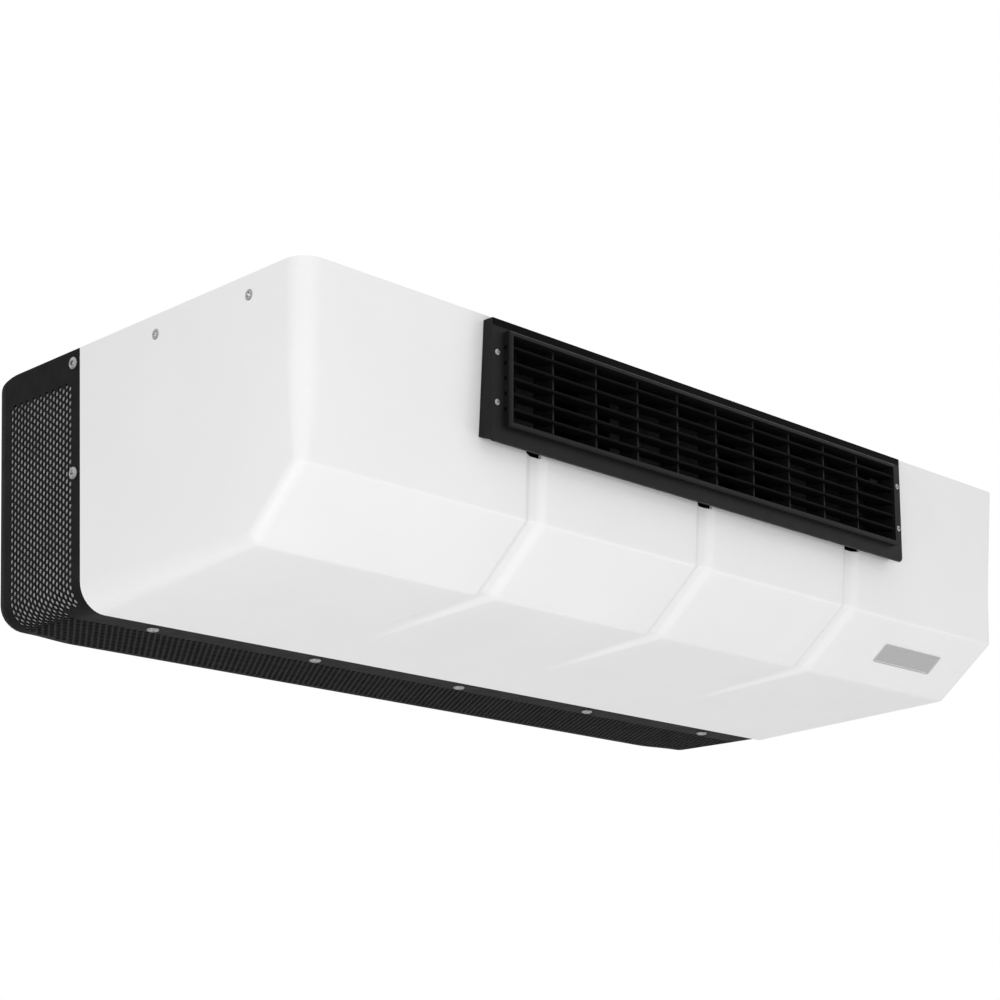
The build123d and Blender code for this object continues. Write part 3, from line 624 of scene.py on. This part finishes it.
def wrap_cells(builder):
    """The cells of the screen's sides and floor."""

    def place(s, y):
        point, _ = WRAP.at(s)
        return (point.x, y, point.y)

    def clamp(s, y):
        s = min(max(s, 0), WRAP.total)
        y = min(max(y, JOINT_Y), REAR_Y - WRAP.rim(s))
        return min(max(s, top_cut(y)), WRAP.total - top_cut(y)), y

    reach = HOLE_PITCH / 2
    floor_start = WRAP.side + WRAP.arc * BAND_CHANGE
    for s, y in lattice(0, WRAP.total, JOINT_Y, REAR_Y):
        near = min(s, WRAP.total - s)
        band = PLAIN_SIDE_BAND if near < floor_start else PLAIN_FLOOR_BAND
        is_open = near > PLAIN_TOP + reach and JOINT_Y + band + reach < y
        is_open = is_open and y < REAR_Y - WRAP.rim(s) - PLAIN_REAR / 2 - reach
        outer, inner = cell_rings(s, y)
        add_cell(builder, outer, inner, place, clamp, is_open)


def rear_exits():
    """Each pipe's hole in the rear panel, as (x, z, radius)."""
    exits = []
    low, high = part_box("drain_spigots")
    radius = (high.z - low.z) / 2 - SPIGOT_COLLAR
    for side in (-1, 1):
        exits.append((side * (high.x - radius - SPIGOT_COLLAR), (low.z + high.z) / 2, radius))
    for node in ("suction_header", "liquid_line"):
        low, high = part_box(node)
        radius = (high.z - low.z) / 2
        exits.append((high.x - radius, (low.z + high.z) / 2, radius))
    return [(x, z, radius + EXIT_GAP) for x, z, radius in exits]


def rear_cells(builder):
    """The cells of the screen's rear panel, kept clear of the pipes."""
    exits = rear_exits()
    flat_half = side_x(SCREEN_HEIGHT)
    top_corner_start = HALF_WIDTH - SCREEN_SIDE_RIM - TOP_CORNER_HALF

    def rim_at(x):
        s = WRAP.side + WRAP.arc + (flat_half - abs(x)) - WRAP.reach
        return WRAP.rim(max(s, 0))

    def top_at(x):
        return -corner_drop((abs(x) - top_corner_start) / TOP_CORNER_HALF)

    def clamp(x, z):
        for hole_x, hole_z, radius in exits:
            away = Vector((x - hole_x, z - hole_z))
            if away.length < radius:
                away = away.normalized() * radius if away.length > TINY else Vector((radius, 0))
                x, z = hole_x + away.x, hole_z + away.y
        z = min(max(z, -SCREEN_HEIGHT + rim_at(x)), top_at(x))
        limit = side_x(-z) - SCREEN_SIDE_RIM
        return min(max(x, -limit), limit), z

    def place(x, z):
        return (x, REAR_Y, z)

    reach = HOLE_PITCH / 2
    for x, z in lattice(-HALF_WIDTH, HALF_WIDTH, -SCREEN_HEIGHT, 0):
        gap = min(math.hypot(x - hole_x, z - hole_z) - radius for hole_x, hole_z, radius in exits)
        if gap < -HOLE_PITCH / math.sqrt(3):
            continue
        is_open = -z > PLAIN_TOP + reach and gap > EXIT_MARGIN
        is_open = is_open and abs(x) < side_x(-z) - SCREEN_SIDE_RIM - PLAIN_REAR - reach
        is_open = is_open and z > -SCREEN_HEIGHT + rim_at(x) + PLAIN_REAR + reach
        outer, inner = cell_rings(x, z)
        add_cell(builder, outer, inner, place, clamp, is_open)


def rim_strip(builder):
    """The rounded edge between the wrap and the rear panel."""
    rows = []
    for i in range(RIM_COUNT + 1):
        row = []
        for k in range(RIM_STEPS + 1):
            angle = math.pi / 2 * k / RIM_STEPS
            s = WRAP.total * i / RIM_COUNT
            cut = top_cut(REAR_Y - WRAP.rim(s) * (1 - math.sin(angle)))
            s = cut + (WRAP.total - 2 * cut) * i / RIM_COUNT
            radius = WRAP.rim(s)
            point, out = WRAP.at(s)
            spot = point - out * radius * (1 - math.cos(angle))
            y = REAR_Y - radius + radius * math.sin(angle)
            row.append(builder.verts.new((spot.x, y, spot.y)))
        rows.append(row)
    join_rows(builder, rows)


def perforated_screen():
    """The screen as a perforated sheet."""
    builder = bmesh.new()
    wrap_cells(builder)
    rear_cells(builder)
    rim_strip(builder)
    bmesh.ops.remove_doubles(builder, verts=builder.verts, dist=SCREEN_MERGE_DISTANCE)
    bmesh.ops.recalc_face_normals(builder, faces=builder.faces)
    centre = Vector((0, (JOINT_Y + REAR_Y) / 2, -SCREEN_HEIGHT / 2))
    for face in builder.faces:
        if face.normal.dot(face.calc_center_median() - centre) < 0:
            face.normal_flip()
    made = piece_from("perforated_screen", builder, "return_screen")
    thicken(made, SCREEN_SHEET, -1)
    settle(made)


def filter_mat():
    """The grey mat that lies inside the screen, behind its holes."""
    builder = bmesh.new()
    inset = SCREEN_SHEET + FILTER_GAP + FILTER_SHEET / 2
    top = TOP_CORNER_HEIGHT + FILTER_MARGIN
    rows = []
    for i in range(FILTER_COUNT + 1):
        s = top + (WRAP.total - 2 * top) * i / FILTER_COUNT
        point, out = WRAP.at(s)
        radius = WRAP.rim(s)
        spot = point - out * inset
        row = [builder.verts.new((spot.x, JOINT_Y + FILTER_JOINT_GAP, spot.y))]
        for k in range(FILTER_BEND_STEPS + 1):
            angle = math.pi / 2 * k / FILTER_BEND_STEPS
            spot = point - out * (radius - (radius - inset) * math.cos(angle))
            y = REAR_Y - radius + (radius - inset) * math.sin(angle)
            row.append(builder.verts.new((spot.x, y, spot.y)))
        rows.append(row)
    join_rows(builder, rows)
    half = side_x(SCREEN_HEIGHT) - SCREEN_SIDE_RIM
    low, high = -SCREEN_HEIGHT + SCREEN_FLOOR_RIM + FILTER_MARGIN, -top
    near, raised = half - RIM_CHANGE_LENGTH - CORNER_RADIUS, low + SCREEN_SIDE_RIM
    lower = ((-half, raised), (-near, low), (near, low), (half, raised))
    corners = lower + ((half, high), (-half, high))
    builder.faces.new([builder.verts.new((x, REAR_Y - inset, z)) for x, z in corners])
    made = loose_piece("filter_mat", builder, "housing", MATERIALS["filter"])
    thicken(made, FILTER_SHEET, 0)


perforated_screen()
filter_mat()


# Screws


def cross_depth(x, y, head_radius):
    """How deep the cross recess is at a point of the head."""
    arm, half = head_radius * CROSS_ARM, head_radius * CROSS_HALF
    depth = 0
    for along, across in ((abs(x), abs(y)), (abs(y), abs(x))):
        within = held((half - across) / (CROSS_WALL * half) + 0.5)
        inside = within * held((arm - along) / half)
        depth = max(depth, inside)
    return depth * head_radius * CROSS_DEPTH


def add_screw(builder, seat, outward, head_radius, head_height, shank_radius, shank_length, turn):
    """A domed head with a cross recess, and its shank."""
    turned = outward.to_track_quat("Z", "Y").to_matrix() @ Matrix.Rotation(turn, 3, "Z")
    angles = [2 * math.pi * k / SCREW_SECTORS for k in range(SCREW_SECTORS)]
    circle = [(math.cos(angle), math.sin(angle)) for angle in angles]
    edge = head_height * HEAD_EDGE

    def spot(x, y, z):
        return builder.verts.new(seat + turned @ Vector((x, y, z)))

    rows = []
    for i in range(1, HEAD_RINGS + 1):
        share = i / HEAD_RINGS
        radius = head_radius * i / HEAD_RINGS
        lift = edge + (head_height - edge) * math.sqrt(1 - share**2 * HEAD_DOME)
        row = []
        for across, up in circle:
            x, y = radius * across, radius * up
            row.append(spot(x, y, lift - cross_depth(x, y, head_radius)))
        rows.append(row)
    shank = ((shank_radius, 0), (shank_radius, -shank_length), (SHANK_TIP_RADIUS, -shank_length))
    for radius, z in ((head_radius, 0), *shank):
        rows.append([spot(radius * across, radius * up, z) for across, up in circle])
    top = spot(0, 0, head_height - cross_depth(0, 0, head_radius))
    for k in range(SCREW_SECTORS):
        n = (k + 1) % SCREW_SECTORS
        builder.faces.new((top, rows[0][k], rows[0][n]))
        for upper, lower in zip(rows, rows[1:]):
            builder.faces.new((upper[k], lower[k], lower[n], upper[n]))
    builder.faces.new(rows[-1][::-1])


def screw_points(node):
    """The points of each screw in a CAD group, one list for each solid."""
    builder = cad_mesh(node)
    builder.verts.ensure_lookup_table()
    seen, solids = set(), []
    for vert in builder.verts:
        if vert.index in seen:
            continue
        stack, points = [vert], []
        seen.add(vert.index)
        while stack:
            current = stack.pop()
            points.append(current.co.copy())
            for link in current.link_edges:
                other = link.other_vert(current)
                if other.index not in seen:
                    seen.add(other.index)
                    stack.append(other)
        solids.append(points)
    builder.free()
    return solids


def head_direction(node, middle):
    """Which way the head of a screw faces."""
    if node == "floor_screws":
        return Vector((0, 0, -1))
    if node == "grille_screws":
        return Vector((0, -1, 0))
    return Vector((math.copysign(1, middle.x), 0, -SIDE_DRAFT)).normalized()


def screw_group(node, head_radius, head_height, shank_radius, seat_height):
    """All screws of a CAD group, each on its own seat."""
    builder = bmesh.new()
    for number, points in enumerate(screw_points(node)):
        outward = head_direction(node, sum(points, Vector()) / len(points))
        reach = max(p.dot(outward) for p in points)
        top = [p for p in points if p.dot(outward) > reach - HEAD_TOP_REACH]
        seat = sum(top, Vector()) / len(top) - outward * seat_height
        length = reach - min(p.dot(outward) for p in points) - head_height
        turn = NEXT_TURN * number + FIRST_TURN
        add_screw(builder, seat, outward, head_radius, head_height, shank_radius, length, turn)
    piece_from(node + "_real", builder, node, SCREW_SMOOTH_ANGLE)


for group in ("cover_screws", "band_screws", "floor_screws"):
    screw_group(group, BIG_HEAD_RADIUS, BIG_HEAD_HEIGHT, BIG_SHANK_RADIUS, BIG_SEAT_HEIGHT)
screw_group("grille_screws", SMALL_HEAD_RADIUS, SMALL_HEAD_HEIGHT, SMALL_SHANK_RADIUS, SMALL_HEAD_HEIGHT)


# Fins


def fins():
    """Thin upright plates with a light ripple, side by side along the coil."""
    low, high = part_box("fin_pack")
    builder = bmesh.new()
    count = int((high.x - low.x) / FIN_PITCH)
    section = ((0, low.z), (FIN_SHEET, low.z), (FIN_SHEET, high.z), (0, high.z))
    for i in range(count + 1):
        x = low.x + (high.x - low.x - FIN_SHEET) * i / count
        columns = []
        for k in range(FIN_STEPS + 1):
            y = low.y + (high.y - low.y) * k / FIN_STEPS
            is_rippled = 0 < k < FIN_STEPS and 0 < i < count
            ripple = FIN_PITCH * FIN_RIPPLE * (-1) ** k if is_rippled else 0
            columns.append([builder.verts.new((x + ripple + dx, y, z)) for dx, z in section])
        for left, right in zip(columns, columns[1:]):
            for k in range(len(section)):
                n = (k + 1) % len(section)
                builder.faces.new((left[k], left[n], right[n], right[k]))
        builder.faces.new(columns[0][::-1])
        builder.faces.new(columns[-1])
    bmesh.ops.recalc_face_normals(builder, faces=builder.faces)
    piece_from("fin_pack_real", builder, "fin_pack", FIN_SMOOTH_ANGLE)


fins()


# Cover


cover_low, cover_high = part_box("front_cover")
FRONT_Y = cover_low.y
COVER_HEIGHT = -cover_low.z
COVER_JOINT_Y = cover_high.y


class Profile:
    """The cover's outline in the side view, drawn in by any distance."""

    def __init__(self):
        front = COVER_HEIGHT - FRONT_LIFT
        foot = COVER_HEIGHT - FOOT_LIFT
        self.nodes = [
            Vector((FRONT_Y, 0)),
            Vector((FRONT_Y + FRONT_LEAN * front, -front)),
            Vector((FRONT_Y + FOOT_SETBACK, -foot)),
            Vector((COVER_JOINT_Y, -COVER_HEIGHT)),
        ]
        self.runs = [(b - a).normalized() for a, b in zip(self.nodes, self.nodes[1:])]
        self.lengths = [(b - a).length for a, b in zip(self.nodes, self.nodes[1:])]
        self.inward = []
        for run, start in zip(self.runs, self.nodes):
            across = Vector((-run.y, run.x))
            self.inward.append(across if across.dot(COVER_INSIDE - start) > 0 else -across)

    def node(self, k, inset):
        """A corner of the outline, drawn in."""
        if k == 0:
            start, run = self.nodes[0] + self.inward[0] * inset, self.runs[0]
            return start - run * (start.y / run.y)
        if k == len(self.runs):
            start, run = self.nodes[-1] + self.inward[-1] * inset, self.runs[-1]
            return start + run * ((COVER_JOINT_Y - start.x) / run.x)
        first, second = self.inward[k - 1], self.inward[k]
        across = (first + second) / (1 + first.dot(second))
        return self.nodes[k] + across * inset

    def on_run(self, k, distance, inset):
        """A point on one run, by its distance from the run's start."""
        start, end = self.node(k, inset), self.node(k + 1, inset)
        return start.lerp(end, distance / self.lengths[k])

    def on_fold(self, k, share, inset):
        """A point on the rounded fold after run k."""
        reach = FOLD_REACH[k]
        before = self.on_run(k, self.lengths[k] - reach, inset)
        corner = self.node(k + 1, inset)
        after = self.on_run(k + 1, reach, inset)
        return before.lerp(corner, share).lerp(corner.lerp(after, share), share)


def profile_stations(profile):
    """Functions of the inset, from the cover's top to the joint, each with its share of a groove."""
    stations = []
    lean = math.hypot(1, FRONT_LEAN)
    front, slope, floor = range(3)

    def run(k, distance, groove):
        stations.append((lambda inset: profile.on_run(k, distance, inset), groove))

    def fold(k):
        for share in FOLD_SHARES:
            stations.append((lambda inset, share=share: profile.on_fold(k, share, inset), 1))

    for height in (0, WINDOW_TOP):
        run(front, height * lean, 0)
    window_end = WINDOW_BOTTOM * lean
    run(front, window_end, 1)
    for share in FRONT_SHARES:
        run(front, window_end + (profile.lengths[front] - window_end) * share, 1)
    fold(front)
    for share in SLOPE_SHARES:
        run(slope, profile.lengths[slope] * share, 1)
    fold(slope)
    fold_end = FOLD_REACH[slope]
    fade_end = GROOVE_FADE_Y - profile.nodes[floor].x
    for k in range(1, FADE_STEPS + 1):
        run(floor, fold_end + (fade_end - fold_end) * k / FADE_STEPS, 1 - k / FADE_STEPS)
    for share in FLOOR_SHARES:
        run(floor, fade_end + (profile.lengths[floor] - fade_end) * share, 0)
    return stations


def groove_share(x):
    """How deep a groove is across its width, from 0 to 1."""
    away = min(abs(x - centre) for centre in GROOVE_CENTRES) / GROOVE_HALF
    return eased(held((1 - away) / (1 - GROOVE_FLOOR)))


def edge_radius(height, y):
    """The radius between the side and the rest, by the place along the profile."""
    front_foot = COVER_HEIGHT - FRONT_LIFT
    if height < front_foot:
        start = front_foot * EDGE_CHANGE_START
        share = max(0, (height - start) / (front_foot - start))
        return FRONT_EDGE_RADIUS + (SLOPE_EDGE_RADIUS - FRONT_EDGE_RADIUS) * share**2
    floor_start = FRONT_Y + FOOT_SETBACK
    share = held((y - floor_start) / (COVER_JOINT_Y - EDGE_CHANGE_END - floor_start))
    return SLOPE_EDGE_RADIUS + (CORNER_RADIUS - SLOPE_EDGE_RADIUS) * share


def column_x(value, height, radius):
    """The x of a grid column, by its x at the top."""
    flat = HALF_WIDTH - CORNER_RADIUS
    plain = value * (side_x(height) - CORNER_RADIUS) / flat
    if abs(value) <= FIXED_HALF:
        return plain
    share = (abs(value) - FIXED_HALF) / (flat - FIXED_HALF)
    return plain + math.copysign(share * (CORNER_RADIUS - radius), value)


def flat_columns():
    """The x of the grid's columns over the flat part, left to right."""
    flat = HALF_WIDTH - CORNER_RADIUS
    xs = {-flat, flat, -WINDOW_HALF, WINDOW_HALF}
    for centre in GROOVE_CENTRES:
        for k in range(GROOVE_STEPS + 1):
            xs.add(centre + GROOVE_HALF * (2 * k / GROOVE_STEPS - 1))
    for k in range(1 - PLAIN_COLUMNS, PLAIN_COLUMNS):
        x = flat * k / PLAIN_COLUMNS
        if min(abs(x - other) for other in xs) > COLUMN_GAP:
            xs.add(x)
    return sorted(xs)


def cover_columns():
    """Each column's side and value: 0 and its x on the flat part, or -1 or 1 and its angle."""
    angles = [math.pi / 2 * k / CORNER_STEPS for k in range(1, CORNER_STEPS + 1)]
    left = [(-1, angle) for angle in reversed(angles)]
    right = [(1, angle) for angle in angles]
    return left + [(0, x) for x in flat_columns()] + right


def cover_line(builder, stations, side, value):
    """The points of one column, from the cover's top to the joint."""
    line = []
    for station, groove in stations:
        start = station(0)
        radius = edge_radius(-start.y, start.x)
        if side:
            point = station(radius * (1 - math.cos(value)))
            x = side * (side_x(-point.y) - radius * (1 - math.sin(value)))
        else:
            point = station(GROOVE_DEPTH * groove * groove_share(value))
            x = column_x(value, -point.y, radius)
        line.append(builder.verts.new((x, point.x, point.y)))
    return line


def over_window(left, right):
    """Whether two columns both lie over the window's width."""
    if left[0] or right[0]:
        return False
    return left[1] >= -WINDOW_HALF - TINY and right[1] <= WINDOW_HALF + TINY


def cover_shell():
    """The cover as a thin shell with its window open."""
    stations = profile_stations(Profile())
    columns = cover_columns()
    builder = bmesh.new()
    grid = [cover_line(builder, stations, *column) for column in columns]
    for i in range(len(grid) - 1):
        for k in range(len(stations) - 1):
            if k == WINDOW_ROW and over_window(columns[i], columns[i + 1]):
                continue
            builder.faces.new((grid[i][k], grid[i][k + 1], grid[i + 1][k + 1], grid[i + 1][k]))
    for line, side in ((grid[0], -1), (grid[-1], 1)):
        corner = builder.verts.new((side * side_x(0), COVER_JOINT_Y, 0))
        face = line + [corner]
        builder.faces.new(face if side < 0 else face[::-1])
    bmesh.ops.recalc_face_normals(builder, faces=builder.faces)
    made = piece_from("moulded_cover", builder, "front_cover")
    thicken(made, COVER_WALL, -1)
    settle(made)
    return made


def notch_cutter():
    """The notches at the grooves' upper ends, as one cutter."""
    builder = bmesh.new()
    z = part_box("grille_frame")[0].z + (NOTCH_LOW + NOTCH_HIGH) / 2
    stretch = Matrix.Diagonal((2 * NOTCH_HALF, NOTCH_CUT_DEPTH, NOTCH_HIGH - NOTCH_LOW, 1))
    for centre in GROOVE_CENTRES:
        place = Matrix.Translation((centre, FRONT_Y + NOTCH_CUT_SETBACK, z))
        bmesh.ops.create_cube(builder, size=1, matrix=place @ stretch)
    return object_from("notch_cutter", builder)


def notched_cover():
    """The cover with its notches cut, and no cutter left."""
    made = cover_shell()
    cutter = notch_cutter()
    cut = made.modifiers.new("notch", "BOOLEAN")
    cut.object = cutter
    cut.operation = "DIFFERENCE"
    cut.solver = "EXACT"
    settle(made)
    bpy.data.objects.remove(cutter)


notched_cover()


# Edges


def is_plate_corner(edge, low, high):
    """Whether an edge runs from front to rear along a lower corner of the grille's plate."""
    ends = [vert.co for vert in edge.verts]
    for point in ends:
        if high.x - abs(point.x) >= PLATE_CORNER_REACH or point.z - low.z >= PLATE_CORNER_REACH:
            return False
    return abs(ends[0].y - ends[1].y) > TINY


def rounded_grille():
    """The grille with its plate's lower corners rounded, and its front above the outlet darker as painted
    shade.
    """
    made = softened("grille_frame", GRILLE_EDGE)
    low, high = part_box("grille_frame")
    builder = bmesh.new()
    builder.from_mesh(made.data)
    everything = builder.verts[:] + builder.edges[:] + builder.faces[:]
    level = (0, 0, -WINDOW_TOP)
    bmesh.ops.bisect_plane(builder, geom=everything, plane_co=level, plane_no=(0, 0, 1), dist=TINY)
    bmesh.ops.bevel(
        builder,
        geom=[edge for edge in builder.edges if is_plate_corner(edge, low, high)],
        offset=PLATE_CORNER,
        segments=PLATE_CORNER_SEGMENTS,
        profile=0.5,
        affect="EDGES",
    )
    builder.to_mesh(made.data)
    builder.free()
    smooth(made.data)
    # The second slot is the darker black: painted shade on the plate's front above the outlet
    made.data.materials.append(MATERIALS["black_plastic_painted_shade"])
    for face in made.data.polygons:
        if face.center.z > -WINDOW_TOP and face.normal.y < LOOKS_FORWARD:
            face.material_index = 1


def rimmed_badge():
    """The bare badge with a raised rim."""
    made = softened("badge_plate", BADGE_EDGE)
    builder = bmesh.new()
    builder.from_mesh(made.data)

    def behind(face):
        """Lowest for the large face that looks to the front and down."""
        return face.normal.y + face.normal.z - face.calc_area() * BADGE_AREA_WEIGHT

    front = min(builder.faces, key=behind)
    bmesh.ops.inset_region(builder, faces=[front], thickness=BADGE_RIM)
    bmesh.ops.inset_region(builder, faces=[front], thickness=BADGE_STEP_WIDTH, depth=-BADGE_STEP_DEPTH)
    builder.to_mesh(made.data)
    builder.free()
    made.data.set_sharp_from_angle(angle=math.radians(BADGE_SMOOTH_ANGLE))


def plenum_in_painted_shade():
    """The duct behind the grille, in the foam's near-black as painted shade for the dark outlet."""
    made = softened("discharge_plenum", PLENUM_EDGE, 1)
    # The foam's near-black replaces the duct's own material, as painted shade
    made.data.materials.clear()
    made.data.materials.append(MATERIALS["foam"])


rounded_grille()
rimmed_badge()
plenum_in_painted_shade()
softened("top_pan", PAN_EDGE)


# Stage


def floor_material():
    """A pale matt surface with a light mottle."""
    made = bpy.data.materials.new("floor_pale")
    made.use_nodes = True
    tree = made.node_tree
    shader = tree.nodes["Principled BSDF"]
    shader.inputs["Roughness"].default_value = FLOOR_ROUGHNESS
    shader.inputs["Specular IOR Level"].default_value = FLOOR_SPECULAR
    coords = tree.nodes.new("ShaderNodeTexCoord")
    mottle = noise(tree, coords.outputs["Object"], FLOOR_MOTTLE_SCALE)
    light = (FLOOR_COLOUR, FLOOR_COLOUR, FLOOR_COLOUR)
    dark = [c * FLOOR_MOTTLE for c in light]
    tree.links.new(mixed(tree, mottle, dark, light), shader.inputs["Base Color"])
    return made


floor_z = cad_box[0][2] - FLOOR_DROP
floor_signs = ((-1, -1), (1, -1), (1, 1), (-1, 1))
floor_corners = [(x * FLOOR_HALF, y * FLOOR_HALF, floor_z) for x, y in floor_signs]
floor_mesh = bpy.data.meshes.new("floor")
floor_mesh.from_pydata(floor_corners, [], [(0, 1, 2, 3)])
floor = bpy.data.objects.new("floor", floor_mesh)
bpy.context.scene.collection.objects.link(floor)
floor_mesh.materials.append(floor_material())


def sky(ambient):
    """White behind the object, and a softer even light on it."""
    world = bpy.data.worlds.new("studio")
    bpy.context.scene.world = world
    world.use_nodes = True
    tree = world.node_tree
    tree.nodes.clear()
    rays = tree.nodes.new("ShaderNodeLightPath")
    shown = node_of(tree, "ShaderNodeMath", operation="MAXIMUM")
    tree.links.new(rays.outputs["Is Camera Ray"], shown.inputs[0])
    tree.links.new(rays.outputs["Is Glossy Ray"], shown.inputs[1])
    clear = node_of(tree, "ShaderNodeMath", operation="MAXIMUM")
    tree.links.new(shown.outputs[0], clear.inputs[0])
    tree.links.new(rays.outputs["Is Transmission Ray"], clear.inputs[1])
    lit = node_of(tree, "ShaderNodeBackground", Color=(1, 1, 1, 1), Strength=ambient)
    white = node_of(tree, "ShaderNodeBackground", Color=(1, 1, 1, 1), Strength=1.0)
    mix = tree.nodes.new("ShaderNodeMixShader")
    out = tree.nodes.new("ShaderNodeOutputWorld")
    tree.links.new(clear.outputs[0], mix.inputs[0])
    tree.links.new(lit.outputs[0], mix.inputs[1])
    tree.links.new(white.outputs[0], mix.inputs[2])
    tree.links.new(mix.outputs[0], out.inputs["Surface"])


def area_light(name, place, target, size, power):
    """A rectangular lamp that faces its target."""
    lamp = bpy.data.lights.new(name, "AREA")
    lamp.shape = "RECTANGLE"
    lamp.size, lamp.size_y = size
    lamp.energy = power
    made = bpy.data.objects.new(name, lamp)
    bpy.context.scene.collection.objects.link(made)
    made.location = place
    made.rotation_euler = (Vector(target) - Vector(place)).to_track_quat("-Z", "Y").to_euler()
    made.visible_glossy = name not in UNREFLECTED


sky(SKY_STRENGTH)
for lamp_name, lamp_values in LAMPS.items():
    area_light(lamp_name, *lamp_values)


# Camera


def place_camera():
    """The camera that fits the photograph."""
    lens = bpy.data.cameras.new("photo_camera")
    lens.sensor_width = SENSOR_WIDTH
    lens.lens = CAMERA_FOCAL_PIXELS / IMAGE_PIXELS * SENSOR_WIDTH
    lens.shift_y = CAMERA_SHIFT
    made = bpy.data.objects.new("photo_camera", lens)
    bpy.context.scene.collection.objects.link(made)
    az, rise = CAMERA_AZIMUTH, CAMERA_RISE
    forward = Vector((math.sin(az) * math.cos(rise), math.cos(az) * math.cos(rise), math.sin(rise)))
    level = Vector((math.cos(az), -math.sin(az), 0))
    upright = level.cross(forward)
    right = level * math.cos(CAMERA_ROLL) + upright * math.sin(CAMERA_ROLL)
    up = upright * math.cos(CAMERA_ROLL) - level * math.sin(CAMERA_ROLL)
    turn = Matrix((right, up, -forward)).transposed().to_4x4()
    made.matrix_world = Matrix.Translation(CAMERA_PLACE) @ turn
    bpy.context.scene.camera = made


place_camera()
bpy.context.scene.view_settings.view_transform = "Standard"
